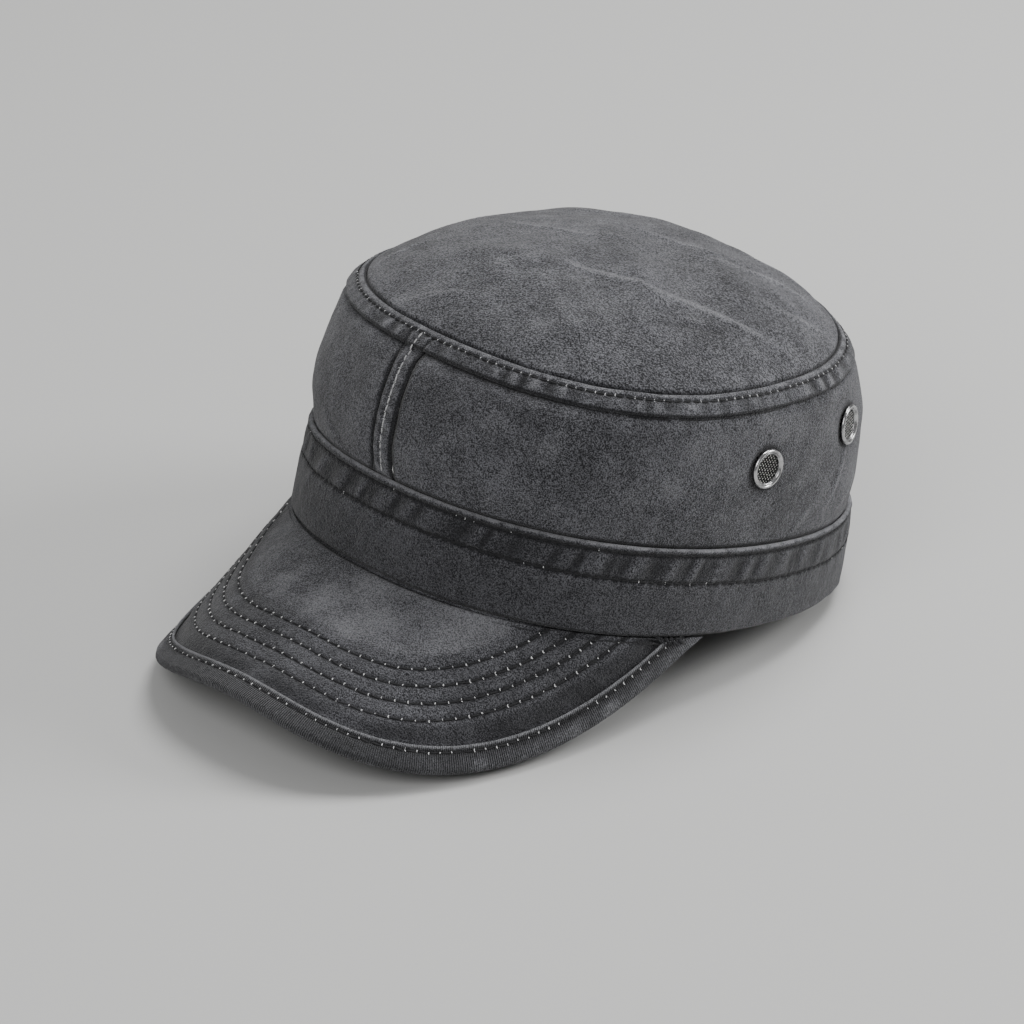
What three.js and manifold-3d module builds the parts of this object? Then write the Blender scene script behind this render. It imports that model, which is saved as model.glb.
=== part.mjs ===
// Patrol cap of washed cotton twill, resting on the back of its rim and the corners of its peak.
// Millimetres. +X is the wearer's left, -Y is the front, +Z is up.

import * as THREE from 'three';
import { mergeVertices } from 'three/addons/utils/BufferGeometryUtils.js';
import Module from 'manifold-3d';

const wasm = await Module();
wasm.setup();

// Driving sizes of the crown, all measured on the outside of the cloth
const RIM_LENGTH = 197;
const RIM_WIDTH = 179;
const BAND_HEIGHT = 29;
const WALL_HEIGHT = 80;
const RING_RISE = 6;
const RING_INSET = 6;
const DOME_RISE = 22;

// Cloth thicknesses: one layer is the twill with its turned facing
const CLOTH = 1.4;
const BAND_CLOTH = 2.2;
const RING_CLOTH = 1.8;
const RING_LIP = 1.0;
const FOLD_SWELL = 0.6;
const SEAM_WIDTH = 7.5;
const SEAM_PROUD = 0.5;

// The gap between neighbouring pieces, and how far an edge is tucked behind the next piece
const GAP = 0.3;
const TUCK = 5;

// Driving sizes of the peak
const PEAK_REACH = 59;
const PEAK_WIDTH = 165;
const PEAK_SPAN = 151;
const PEAK_SQUARE = 2.6;
const PEAK_SKEW = 1.4;
const PEAK_SLOPE = 0.603;
const PEAK_ARCH = 0.9;
const PEAK_LIFT = 2.6;
const PEAK_BOARD = 1.6;
const PEAK_TUCK = 2;
const BINDING_WIDTH = 9.4;
const BINDING_CLOTH = 0.7;

// Driving sizes of the eyelets
const EYELET_WIDTH = 13.8;
const EYELET_BORE = 10.2;
const EYELET_FLANGE = 1.1;
const EYELET_BARREL = 0.5;
const MESH_CLOTH = 0.8;

// How deep the cloth is pressed flat where the cap rests
const PRESS = 0.5;

// Steps round and along the pieces
const ROUND_STEPS = 72;
const TOP_STEPS = 50;
const PANEL_STEPS = 30;
const PEAK_STEPS = 36;
const EYELET_STEPS = 16;

const rimLength = RIM_LENGTH / 2;
const rimWidth = RIM_WIDTH / 2;
const radians = THREE.MathUtils.degToRad;
const smooth = THREE.MathUtils.smoothstep;
const mix = THREE.MathUtils.lerp;

// Sections of the crown's outside, from the rim up. Lengths are shares of the rim's half length,
// widths of its half width, forward shifts of its half length, nods and saddles of the wall's height.
// A nod raises the front and lowers the back; a saddle raises both and lowers the sides.
const RIM = { height: 0, length: 1, width: 1, forward: 0, nod: 0, saddle: 0.0175, square: 2.23 };
const FOLD = {
  height: BAND_HEIGHT, length: 0.984, width: 0.987, forward: -0.002, nod: 0.043, saddle: 0.01, square: 2.23,
};
const CHEEK_SHARE = 0.62;
const CHEEK = {
  height: mix(BAND_HEIGHT, WALL_HEIGHT, CHEEK_SHARE),
  length: 0.916, width: 0.989, forward: 0.021, nod: -0.03, saddle: 0.0155, square: 2.33,
};
const SHOULDER = {
  height: WALL_HEIGHT, length: 0.813, width: 0.975, forward: 0.035, nod: -0.075, saddle: 0.019, square: 2.39,
};

// The roll of the top ring between its two seams, as shares of its inset and rise
const ROLL = { inset: 0.53, rise: 0.667 };

// The band stands out a little at half its height
const BAND_BELLY = 0.6;

// How the dome flattens towards its middle
const DOME_POWER = 2.6;

// Broad folds in the wall: ends as degrees round from the front and shares of the height between the
// band's fold and the ring, width and depth as shares of the wall's height. A minus depth is a dent.
const WALL_FOLDS = [
  { turnA: 128, shareA: 0.72, turnB: 112, shareB: 0.12, width: 0.1, depth: 0.014 },
  { turnA: 104, shareA: 0.5, turnB: 96, shareB: 0.15, width: 0.12, depth: -0.01 },
  { turnA: 44, shareA: 0.85, turnB: 52, shareB: 0.35, width: 0.14, depth: -0.008 },
  { turnA: 20, shareA: 0.75, turnB: 14, shareB: 0.2, width: 0.12, depth: -0.009 },
  { turnA: -24, shareA: 0.8, turnB: -16, shareB: 0.2, width: 0.12, depth: -0.011 },
  { turnA: -90, shareA: 0.3, turnB: -102, shareB: 0.1, width: 0.12, depth: 0.012 },
  { turnA: -152, shareA: 0.7, turnB: -144, shareB: 0.25, width: 0.12, depth: -0.012 },
  { turnA: 158, shareA: 0.75, turnB: 150, shareB: 0.2, width: 0.12, depth: -0.012 },
];

// Folds in the top: ends as shares of the top's half width and half length, width and height as
// shares of the dome's rise. A minus height is a dent.
const TOP_FOLDS = [
  { acrossA: -0.1, alongA: 0.1, acrossB: 0.45, alongB: -0.25, width: 0.3, height: 0.09 },
  { acrossA: 0.1, alongA: -0.35, acrossB: 0.55, alongB: -0.5, width: 0.4, height: -0.07 },
  { acrossA: -0.6, alongA: 0.1, acrossB: -0.3, alongB: 0.4, width: 0.4, height: -0.06 },
  { acrossA: -0.35, alongA: -0.55, acrossB: 0, alongB: -0.4, width: 0.36, height: 0.05 },
  { acrossA: 0.3, alongA: 0.35, acrossB: 0.6, alongB: 0.2, width: 0.3, height: 0.06 },
];

// Where the front seam runs, in degrees round from the front, at the band and at the ring
const FRONT_SEAM = { low: -2.3, high: -8 };
const BACK_SEAM = { low: 180, high: 180 };

// The eyelets: degrees round from the front and share of the height between the band and the ring
const EYELETS = [
  { name: 'left_front', turn: 85.3, share: 0.582 },
  { name: 'left_back', turn: 116.4, share: 0.692 },
  { name: 'right_front', turn: -85.3, share: 0.582 },
  { name: 'right_back', turn: -116.4, share: 0.692 },
];

// The value at t of the curve through a at 0, b at m and c at 1
function through(a, b, c, m, t) {
  const atA = a * (t - m) * (t - 1) / m;
  const atB = b * t * (t - 1) / (m * (m - 1));
  const atC = c * t * (t - m) / (1 - m);
  return atA + atB + atC;
}

// A section as real lengths
function section(row) {
  return {
    height: row.height,
    length: row.length * rimLength,
    width: row.width * rimWidth,
    back: -row.forward * rimLength,
    nod: row.nod * WALL_HEIGHT,
    saddle: row.saddle * WALL_HEIGHT,
    square: row.square,
  };
}

function blendSections(rows, weigh) {
  const [a, b, c] = rows.map(section);
  return Object.fromEntries(Object.keys(a).map((key) => [key, weigh(a[key], b[key], c[key])]));
}

// The crown's section at a rise: 0 rim, 1 band's fold, 2 ring's lower seam, 3 ring's upper seam
function sectionAt(rise) {
  if (rise <= 1) {
    const level = blendSections([RIM, FOLD, FOLD], (a, b) => mix(a, b, rise));
    const belly = BAND_BELLY * Math.sin(Math.PI * Math.max(rise, 0));
    return { ...level, length: level.length + belly, width: level.width + belly };
  }
  if (rise <= 2) {
    return blendSections([FOLD, CHEEK, SHOULDER], (a, b, c) => through(a, b, c, CHEEK_SHARE, rise - 1));
  }
  const shoulder = section(SHOULDER);
  const t = Math.min(rise - 2, 1);
  const inset = RING_INSET * through(0, ROLL.inset, 1, 0.5, t);
  return {
    ...shoulder,
    length: shoulder.length - inset,
    width: shoulder.width - inset,
    height: shoulder.height + RING_RISE * through(0, ROLL.rise, 1, 0.5, t),
  };
}

// The distance from a section's middle to its outline, in a direction round from the front
function reach(level, turn) {
  const along = Math.abs(Math.cos(turn)) / level.length;
  const across = Math.abs(Math.sin(turn)) / level.width;
  return (along ** level.square + across ** level.square) ** (-1 / level.square);
}

// How near a point is to a fold's line, from 1 on it to 0 well away
function nearness(x, y, ax, ay, bx, by, width) {
  const length = Math.hypot(bx - ax, by - ay);
  const t = ((x - ax) * (bx - ax) + (y - ay) * (by - ay)) / length ** 2;
  const end = Math.max(-t, t - 1, 0) * length;
  const side = Math.abs((x - ax) * (by - ay) - (y - ay) * (bx - ax)) / length;
  return Math.exp(-((side ** 2 + end ** 2) / width ** 2));
}

function wallFolds(turn, share) {
  const across = THREE.MathUtils.euclideanModulo(THREE.MathUtils.radToDeg(turn) + 180, 360) - 180;
  const drop = WALL_HEIGHT - BAND_HEIGHT;
  let sum = 0;
  for (const f of WALL_FOLDS) {
    const round = (degrees) => radians(degrees) * rimWidth;
    const near = nearness(round(across), share * drop, round(f.turnA), f.shareA * drop,
      round(f.turnB), f.shareB * drop, f.width * WALL_HEIGHT);
    sum += near * f.depth * WALL_HEIGHT;
  }
  return sum * Math.sin(Math.PI * THREE.MathUtils.clamp(share, 0, 1));
}

function topFolds(x, y, level, s) {
  let sum = 0;
  for (const f of TOP_FOLDS) {
    const near = nearness(x, y, f.acrossA * level.width, f.alongA * level.length,
      f.acrossB * level.width, f.alongB * level.length, f.width * DOME_RISE);
    sum += near * f.height * DOME_RISE;
  }
  return sum * (1 - s ** 4);
}

// A point of the crown's outside. Past rise 3 it runs over the dome, to its middle at rise 4.
function outside(turn, rise) {
  const level = sectionAt(rise);
  const s = rise <= 3 ? 1 : Math.max(4 - rise, 0);
  const swell = rise > 1 && rise < 2 ? wallFolds(turn, rise - 1) : 0;
  const r = (reach(level, turn) + swell) * s;
  const x = r * Math.sin(turn);
  const y = -r * Math.cos(turn);
  const z = level.height + level.nod * s * Math.cos(turn) + level.saddle * s * s * Math.cos(2 * turn);
  const dome = rise <= 3 ? 0 : DOME_RISE * (1 - s ** DOME_POWER) + topFolds(x, y, level, s);
  return new THREE.Vector3(x, y + level.back, z + dome);
}

// The same point moved in from the outside by a depth, square to the cloth
function inside(turn, rise, depth) {
  const point = outside(turn, rise);
  if (rise >= 4) {
    return point.add(new THREE.Vector3(0, 0, -depth));
  }
  const step = 0.004;
  const round = outside(turn + step, rise).sub(outside(turn - step, rise));
  const up = outside(turn, Math.min(rise + step, 4)).sub(outside(turn, rise - step));
  return point.addScaledVector(round.cross(up).normalize(), -depth);
}

// A closed geometry from grids of points on its two faces. Rows run up, columns run round.
// `closed` joins the last column to the first.
function skin(front, back, closed) {
  const positions = [];
  const index = [];
  const found = new Map();
  const add = (p) => {
    const key = `${p.x.toFixed(4)} ${p.y.toFixed(4)} ${p.z.toFixed(4)}`;
    if (!found.has(key)) {
      found.set(key, positions.length / 3);
      positions.push(p.x, p.y, p.z);
    }
    return found.get(key);
  };
  const triangle = (a, b, c) => {
    const [i, j, k] = [add(a), add(b), add(c)];
    if (i !== j && j !== k && k !== i) {
      index.push(i, j, k);
    }
  };
  const quad = (a, b, c, d) => {
    triangle(a, b, c);
    triangle(a, c, d);
  };
  const rows = front.length;
  const columns = front[0].length;
  const spans = closed ? columns : columns - 1;
  for (let j = 0; j < spans; j += 1) {
    const k = (j + 1) % columns;
    for (let i = 0; i < rows - 1; i += 1) {
      quad(front[i][j], front[i][k], front[i + 1][k], front[i + 1][j]);
      quad(back[i][k], back[i][j], back[i + 1][j], back[i + 1][k]);
    }
    quad(back[0][j], back[0][k], front[0][k], front[0][j]);
    quad(front[rows - 1][j], front[rows - 1][k], back[rows - 1][k], back[rows - 1][j]);
  }
  if (!closed) {
    for (let i = 0; i < rows - 1; i += 1) {
      quad(back[i][0], front[i][0], front[i + 1][0], back[i + 1][0]);
      quad(front[i][columns - 1], back[i][columns - 1], back[i + 1][columns - 1], front[i + 1][columns - 1]);
    }
  }
  const geometry = new THREE.BufferGeometry();
  geometry.setAttribute('position', new THREE.Float32BufferAttribute(positions, 3));
  geometry.setIndex(index);
  return geometry;
}

function grid(rows, columns, place) {
  return rows.map((row) => columns.map((column) => place(column, row)));
}

function spread(count, from, to) {
  return Array.from({ length: count + 1 }, (_, i) => mix(from, to, i / count));
}

function wholeTurn(steps) {
  return Array.from({ length: steps }, (_, i) => 2 * Math.PI * i / steps);
}

// Solids for cutting
function solid(geometry) {
  const bare = geometry.clone();
  bare.deleteAttribute('normal');
  bare.deleteAttribute('uv');
  const merged = mergeVertices(bare, 1e-4);
  const vertProperties = new Float32Array(merged.attributes.position.array);
  const triVerts = new Uint32Array(merged.index.array);
  return new wasm.Manifold(new wasm.Mesh({ numProp: 3, vertProperties, triVerts }));
}

function surface(body) {
  const mesh = body.getMesh();
  const geometry = new THREE.BufferGeometry();
  geometry.setAttribute('position', new THREE.Float32BufferAttribute(mesh.vertProperties, 3));
  geometry.setIndex(new THREE.Uint32BufferAttribute(mesh.triVerts, 1));
  return geometry;
}

// The band: its fold swells a little, and its lower edge is rounded
const BAND_PROFILE = [
  { rise: 0, out: -0.25, in: 0.75 },
  { rise: 0.04, out: 0, in: 1 },
  { rise: 0.5, out: 0, in: 1 },
  { rise: 0.88, out: 0, in: 1 },
  { rise: 0.96, out: 0.8, in: 1 },
  { rise: 1, out: 0, in: 0.7 },
];

function bandGeometry() {
  const turns = wholeTurn(ROUND_STEPS);
  const front = grid(BAND_PROFILE, turns, (turn, row) => inside(turn, row.rise, -row.out * FOLD_SWELL));
  const back = grid(BAND_PROFILE, turns, (turn, row) => inside(turn, row.rise, row.in * BAND_CLOTH));
  return skin(front, back, true);
}

// How deep the side wall's cloth lies: behind the band, out to the full wall, then behind the ring
function wallDepth(rise) {
  const behindBand = BAND_CLOTH + GAP;
  const behindRing = rise <= 2
    ? mix(0, RING_LIP + GAP, smooth(rise, 1.9, 2))
    : mix(RING_LIP, RING_CLOTH, Math.min((rise - 2) / 0.5, 1)) + GAP;
  return behindBand * (1 - smooth(rise, 1, 1.35)) + behindRing;
}

// The rises of the wall's rows, from its tucked foot to its tucked head
const WALL_RISES = [1 - TUCK / BAND_HEIGHT, 1, 1.12, 1.35, 1.6, 1.88, 1.97, 2.25];

function seamTurn(seam, rise) {
  return radians(mix(seam.low, seam.high, THREE.MathUtils.clamp(rise - 1, 0, 1)));
}

// Half the angle that a width takes up at a rise
function halfAngle(width, rise, turn) {
  return width / 2 / reach(sectionAt(rise), turn);
}

// One half of the side wall, from the front seam round to the back seam
function panelGeometry(side) {
  const shares = spread(PANEL_STEPS, 0, 1);
  const place = (extra) => (share, rise) => {
    const front = seamTurn(FRONT_SEAM, rise);
    const back = side * seamTurn(BACK_SEAM, rise);
    const slot = SEAM_WIDTH + 2 * GAP;
    const from = front + side * halfAngle(slot, rise, front);
    const to = back - side * halfAngle(slot, rise, back);
    return inside(mix(from, to, share), rise, wallDepth(rise) + extra);
  };
  const columns = side > 0 ? shares : [...shares].reverse();
  const plain = skin(grid(WALL_RISES, columns, place(0)), grid(WALL_RISES, columns, place(CLOTH)), false);
  let body = solid(plain);
  for (const eyelet of EYELETS) {
    if (Math.sign(eyelet.turn) === side) {
      body = body.subtract(solid(eyeletHole(eyelet)));
    }
  }
  return surface(body);
}

// A felled seam: a strip between the two halves of the wall, a little proud of them
const SEAM_COLUMNS = [-1, -0.75, 0, 0.75, 1];

function seamGeometry(seam) {
  const proud = (rise) => SEAM_PROUD * smooth(rise, 1.02, 1.12) * (1 - smooth(rise, 1.88, 1.96));
  const place = (extra) => (share, rise) => {
    const middle = seamTurn(seam, rise);
    const turn = middle + share * halfAngle(SEAM_WIDTH, rise, middle);
    return inside(turn, rise, wallDepth(rise) + extra(rise));
  };
  const front = grid(WALL_RISES, SEAM_COLUMNS, place((rise) => -proud(rise)));
  const back = grid(WALL_RISES, SEAM_COLUMNS, place(() => CLOTH));
  return skin(front, back, false);
}

// The top ring: a strip of cloth rolled over the crown's edge, thickest along its middle
const RING_PROFILE = [
  { rise: 2, thick: 0 },
  { rise: 2.25, thick: 0.7 },
  { rise: 2.5, thick: 1 },
  { rise: 2.75, thick: 0.7 },
  { rise: 3, thick: 0 },
];

function ringGeometry() {
  const turns = wholeTurn(ROUND_STEPS);
  const front = grid(RING_PROFILE, turns, (turn, row) => inside(turn, row.rise, 0));
  const thickness = (row) => mix(RING_LIP, RING_CLOTH, row.thick);
  const back = grid(RING_PROFILE, turns, (turn, row) => inside(turn, row.rise, thickness(row)));
  return skin(front, back, true);
}

// The top panel: a dome whose edge is tucked under the ring
const TOP_RISES = [2.66, 3.02, 3.1, 3.22, 3.36, 3.5, 3.64, 3.78, 3.9, 4];

function topGeometry() {
  const turns = wholeTurn(TOP_STEPS);
  const depth = (rise) => (rise < 3
    ? mix(RING_CLOTH, RING_LIP, smooth(rise, TOP_RISES[0], 2.95)) + GAP
    : (RING_LIP + GAP) * (1 - smooth(rise, 3, 3.1)));
  const front = grid(TOP_RISES, turns, (turn, rise) => inside(turn, rise, depth(rise)));
  const back = grid(TOP_RISES, turns, (turn, rise) => inside(turn, rise, depth(rise) + CLOTH));
  return skin(front, back, true);
}

// The peak's outer edge in plan: a squared oval that flares out to meet the rim at both ends. Its
// front is skewed a little towards the wearer's right, as the front seam is.
const EDGE_POWER = 2 / PEAK_SQUARE;

function rimLine(turn, inset) {
  const level = sectionAt(0);
  const r = reach(level, turn) - inset;
  return new THREE.Vector2(r * Math.sin(turn), -r * Math.cos(turn));
}

// The half angle of the rim that the peak is sewn to
const peakTurn = Math.atan2(
  rimWidth * Math.sin(radians(PEAK_SPAN / 2)),
  rimLength * Math.cos(radians(PEAK_SPAN / 2)),
);

function peakEdge(share) {
  const angle = share * Math.PI / 2;
  const ahead = Math.cos(angle) ** EDGE_POWER;
  const aside = Math.abs(Math.sin(angle));
  const end = rimLine(peakTurn, 0);
  const flare = end.x - PEAK_WIDTH / 2;
  const x = Math.sign(share) * (PEAK_WIDTH / 2 * aside ** EDGE_POWER + flare * (1 - ahead) * aside)
    - PEAK_SKEW * ahead;
  const y = end.y - (PEAK_REACH + rimLength + end.y) * ahead;
  return new THREE.Vector2(x, y);
}

// The peak slopes down from the rim, more steeply towards its sides, and lifts a little at its edge
function peakHeight(x, y) {
  const across = Math.min(Math.abs(x) / rimWidth, 0.995);
  const level = sectionAt(0);
  const rimY = -level.length * (1 - across ** level.square) ** (1 / level.square);
  const ahead = Math.max(rimY - y, 0);
  const turn = Math.atan2(x, -y);
  const rimRise = level.saddle * Math.cos(2 * turn) * (1 - smooth(ahead, 0, PEAK_REACH / 2));
  const lift = PEAK_LIFT * (ahead / PEAK_REACH) ** 2;
  return rimRise - GAP - PEAK_SLOPE * (1 + PEAK_ARCH * across ** 2) * ahead + lift;
}

// A point of the peak's top: across from one end at -1 to the other at 1, and out from the rim at 0
// to the edge at 1. It is moved down, square to the top, by a depth.
function peakTop(across, out) {
  const edge = peakEdge(across);
  const root = rimLine(Math.atan2(edge.x, -edge.y), PEAK_TUCK);
  const plan = root.lerp(edge, out);
  return new THREE.Vector3(plan.x, plan.y, peakHeight(plan.x, plan.y));
}

function peakSlopes(across, out) {
  const step = 0.005;
  const left = Math.max(across - step, -1);
  const right = Math.min(across + step, 1);
  return {
    round: peakTop(right, out).sub(peakTop(left, out)).divideScalar(right - left),
    ahead: peakTop(across, out + step).sub(peakTop(across, out - step)).divideScalar(2 * step),
  };
}

function peakPoint(across, out, depth) {
  const { round, ahead } = peakSlopes(across, out);
  return peakTop(across, out).addScaledVector(ahead.cross(round).normalize(), -depth);
}

// Where one comes to by going in from the edge over the peak's top, square to the edge
const INWARD_STEPS = 6;

function inFromEdge(across, distance) {
  const start = peakSlopes(across, 1);
  const tangent = start.round.clone().normalize();
  let here = across;
  let out = 1;
  for (let i = 0; i < INWARD_STEPS; i += 1) {
    const { round, ahead } = peakSlopes(here, out);
    const inward = ahead.clone().cross(round).normalize().cross(tangent).normalize();
    inward.multiplyScalar(distance / INWARD_STEPS);
    const [rr, ra, aa] = [round.dot(round), round.dot(ahead), ahead.dot(ahead)];
    const [ri, ai] = [round.dot(inward), ahead.dot(inward)];
    const area = rr * aa - ra * ra;
    here = THREE.MathUtils.clamp(here + (ri * aa - ai * ra) / area, -1, 1);
    out += (ai * rr - ri * ra) / area;
  }
  return [here, out];
}

// The peak board, its root under the band and its edge inside the binding, trimmed a little more
// towards its ends. `spare` thickens it all round, to clear the space for it in the binding.
const topLeaf = BINDING_CLOTH + GAP;
const TRIM_POWER = 8;
const BOARD_ROWS = [0, 0.1, 0.25, 0.4, 0.55, 0.7, 0.85, 1];

function boardGeometry(spare) {
  const shares = spread(PEAK_STEPS, -1, 1);
  const place = (depth) => (share, row) => {
    const trim = spare > 0 ? 0 : GAP * share ** TRIM_POWER;
    const [across, last] = inFromEdge(share, topLeaf - spare + trim);
    const length = peakTop(share, 0).distanceTo(peakTop(share, 1));
    const offRoot = smooth(row * length, PEAK_TUCK, BINDING_WIDTH);
    const nearBinding = 1 - smooth((1 - row) * length, BINDING_WIDTH, 1.5 * BINDING_WIDTH);
    const sink = topLeaf * Math.max(offRoot, nearBinding);
    return peakPoint(mix(share, across, row), row * last, sink + depth);
  };
  const lower = grid(BOARD_ROWS, shares, place(PEAK_BOARD + spare));
  const upper = grid(BOARD_ROWS, shares, place(-spare));
  return skin(lower, upper, false);
}

// The binding: cloth folded round the edge, over the board and under it
const bindingThickness = PEAK_BOARD + 2 * topLeaf;
const BINDING_PROFILE = [
  { inset: 1, depth: 0 },
  { inset: 0.5, depth: 0 },
  { inset: 0.12, depth: 0 },
  { inset: 0, depth: 0.3 },
  { inset: 0, depth: 0.7 },
  { inset: 0.12, depth: 1 },
  { inset: 0.5, depth: 1 },
  { inset: 1, depth: 1 },
];

function bindingGeometry() {
  const shares = spread(PEAK_STEPS, -1, 1);
  const place = (share, row) => {
    const [across, out] = inFromEdge(share, row.inset * BINDING_WIDTH);
    return peakPoint(across, out, row.depth * bindingThickness);
  };
  const half = BINDING_PROFILE.length / 2;
  const upper = BINDING_PROFILE.slice(0, half);
  const lower = BINDING_PROFILE.slice(half).reverse();
  const whole = skin(grid(lower, shares, place), grid(upper, shares, place), false);
  return surface(solid(whole).subtract(solid(boardGeometry(GAP))).subtract(solid(rimColumn())));
}

// All that lies inside the rim's outline, with the gap that the binding's ends keep to it
function rimColumn() {
  const level = sectionAt(0);
  const outline = wholeTurn(ROUND_STEPS).map((turn) => {
    const r = reach(level, turn) + GAP;
    return new THREE.Vector2(r * Math.sin(turn), -r * Math.cos(turn));
  });
  const extent = { depth: WALL_HEIGHT, bevelEnabled: false };
  const column = new THREE.ExtrudeGeometry(new THREE.Shape(outline), extent);
  return column.translate(0, 0, -WALL_HEIGHT / 2);
}

// The place and facing of an eyelet: its middle on the wall, its axis out of it
function eyeletFrame(eyelet) {
  const turn = radians(eyelet.turn);
  const rise = 1 + eyelet.share;
  const point = inside(turn, rise, wallDepth(rise));
  const axis = point.clone().sub(inside(turn, rise, wallDepth(rise) + 1)).normalize();
  const facing = new THREE.Quaternion().setFromUnitVectors(new THREE.Vector3(0, 1, 0), axis);
  return { point, facing };
}

const eyeletHoleRadius = EYELET_BORE / 2 + EYELET_BARREL + GAP;

function eyeletHole(eyelet) {
  const { point, facing } = eyeletFrame(eyelet);
  const length = 2 * TUCK + CLOTH;
  const hole = new THREE.CylinderGeometry(eyeletHoleRadius, eyeletHoleRadius, length, EYELET_STEPS);
  return hole.applyQuaternion(facing).translate(point.x, point.y, point.z);
}

// A domed flange on the outside, a barrel through the cloth and a rolled lip inside
function eyeletGeometry() {
  const bore = EYELET_BORE / 2;
  const edge = EYELET_WIDTH / 2;
  const barrel = bore + EYELET_BARREL;
  const sag = edge ** 2 / rimWidth;
  const lip = -(CLOTH + sag + GAP);
  const profile = [
    [bore, lip - EYELET_BARREL],
    [edge, lip - EYELET_BARREL],
    [edge, lip],
    [barrel, lip],
    [barrel, GAP],
    [edge, GAP],
    [edge, GAP + EYELET_FLANGE * 0.4],
    [mix(bore, edge, 0.5), GAP + EYELET_FLANGE],
    [bore, GAP + EYELET_FLANGE * 0.5],
    [bore, lip - EYELET_BARREL],
  ];
  return new THREE.LatheGeometry(profile.map(([r, h]) => new THREE.Vector2(r, h)), EYELET_STEPS);
}

// The woven disc held in the barrel
function meshGeometry() {
  const radius = EYELET_BORE / 2 - GAP;
  return new THREE.CylinderGeometry(radius, radius, MESH_CLOTH, EYELET_STEPS);
}

// The lean of the cap at rest: the rim's back and the peak's corners touch the floor together
function restingLean() {
  const rimBack = outside(Math.PI, 0);
  let lean = 0;
  for (const share of spread(PEAK_STEPS, -1, 1)) {
    const low = peakPoint(...inFromEdge(share, BINDING_CLOTH), bindingThickness);
    lean = Math.max(lean, Math.atan2(rimBack.z - low.z, rimBack.y - low.y));
  }
  return lean;
}

const rimBack = outside(Math.PI, 0);
const lean = restingLean();
const rest = new THREE.Group();
rest.rotation.x = -lean;
rest.position.z = rimBack.y * Math.sin(lean) - rimBack.z * Math.cos(lean) - PRESS;
rest.updateMatrix();

// Everything below the floor, as seen from the cap before it is leant back
function belowFloor() {
  const block = new THREE.BoxGeometry(3 * RIM_LENGTH, 3 * RIM_LENGTH, RIM_LENGTH);
  block.translate(0, 0, -RIM_LENGTH / 2);
  return block.applyMatrix4(rest.matrix.clone().invert());
}

function pressed(geometry) {
  return surface(solid(geometry).subtract(solid(belowFloor())));
}

// Finishes
const twill = new THREE.MeshStandardMaterial({ color: 0x4b4c50, roughness: 0.92, metalness: 0 });
const wornTwill = new THREE.MeshStandardMaterial({ color: 0x5a5b5f, roughness: 0.92, metalness: 0 });
const steel = new THREE.MeshStandardMaterial({ color: 0x8a8987, roughness: 0.35, metalness: 1 });
const wire = new THREE.MeshStandardMaterial({ color: 0x4a4945, roughness: 0.5, metalness: 1 });

function add(name, geometry, material) {
  const mesh = new THREE.Mesh(geometry, material);
  mesh.name = name;
  rest.add(mesh);
  return mesh;
}

add('crown_top', topGeometry(), twill);
add('top_ring', ringGeometry(), wornTwill);
add('left_panel', panelGeometry(1), twill);
add('right_panel', panelGeometry(-1), twill);
add('front_seam', seamGeometry(FRONT_SEAM), wornTwill);
add('back_seam', seamGeometry(BACK_SEAM), wornTwill);
add('band', pressed(bandGeometry()), twill);
add('peak', boardGeometry(0), twill);
add('peak_binding', pressed(bindingGeometry()), wornTwill);
for (const eyelet of EYELETS) {
  const { point, facing } = eyeletFrame(eyelet);
  const ring = add(`eyelet_ring_${eyelet.name}`, eyeletGeometry(), steel);
  ring.position.copy(point);
  ring.quaternion.copy(facing);
  const disc = add(`eyelet_mesh_${eyelet.name}`, meshGeometry(), wire);
  disc.position.copy(new THREE.Vector3(0, -CLOTH / 2, 0).applyQuaternion(facing).add(point));
  disc.quaternion.copy(facing);
}

// The cap stands over the middle of its outline
const cap = new THREE.Group();
cap.name = 'patrol_cap';
cap.add(rest);
cap.updateMatrixWorld(true);
const middle = new THREE.Box3().setFromObject(cap, true).getCenter(new THREE.Vector3());
cap.position.set(-middle.x, -middle.y, 0);

export default cap;
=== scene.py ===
"""Patrol cap of washed cotton twill: the sewn cloth, the stitches and the vent eyelets over the frame.

Everything is in metres, in the frame's axes: +X is the wearer's left, -Y the front, +Z up.
"""

from typing import NamedTuple

import bmesh
import bpy
import numpy as np
from bpy.props import FloatProperty, FloatVectorProperty, PointerProperty
from mathutils import Matrix, Vector


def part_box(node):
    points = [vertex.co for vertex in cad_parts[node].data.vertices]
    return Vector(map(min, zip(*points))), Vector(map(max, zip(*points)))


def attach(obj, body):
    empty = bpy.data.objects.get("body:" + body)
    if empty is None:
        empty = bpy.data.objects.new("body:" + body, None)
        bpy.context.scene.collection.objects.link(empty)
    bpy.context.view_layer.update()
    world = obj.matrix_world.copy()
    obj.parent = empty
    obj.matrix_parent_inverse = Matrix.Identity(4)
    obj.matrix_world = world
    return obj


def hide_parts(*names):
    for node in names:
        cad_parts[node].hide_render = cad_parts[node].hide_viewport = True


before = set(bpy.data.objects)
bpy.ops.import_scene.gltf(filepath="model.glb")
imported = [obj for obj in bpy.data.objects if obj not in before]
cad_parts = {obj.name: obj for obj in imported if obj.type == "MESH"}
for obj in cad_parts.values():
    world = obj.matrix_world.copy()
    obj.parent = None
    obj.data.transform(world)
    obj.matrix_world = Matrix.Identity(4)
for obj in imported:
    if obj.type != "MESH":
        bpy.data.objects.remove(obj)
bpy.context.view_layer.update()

bl_info = {
    "name": "Patrol cap",
    "version": (1, 0, 0),
    "blender": (4, 5, 0),
    "location": "3D View > Sidebar > Cap",
    "description": "Adds the sewn cloth, stitches and eyelets of a washed twill patrol cap",
    "category": "Add Mesh",
}

ROUND = 2 * np.pi

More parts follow.
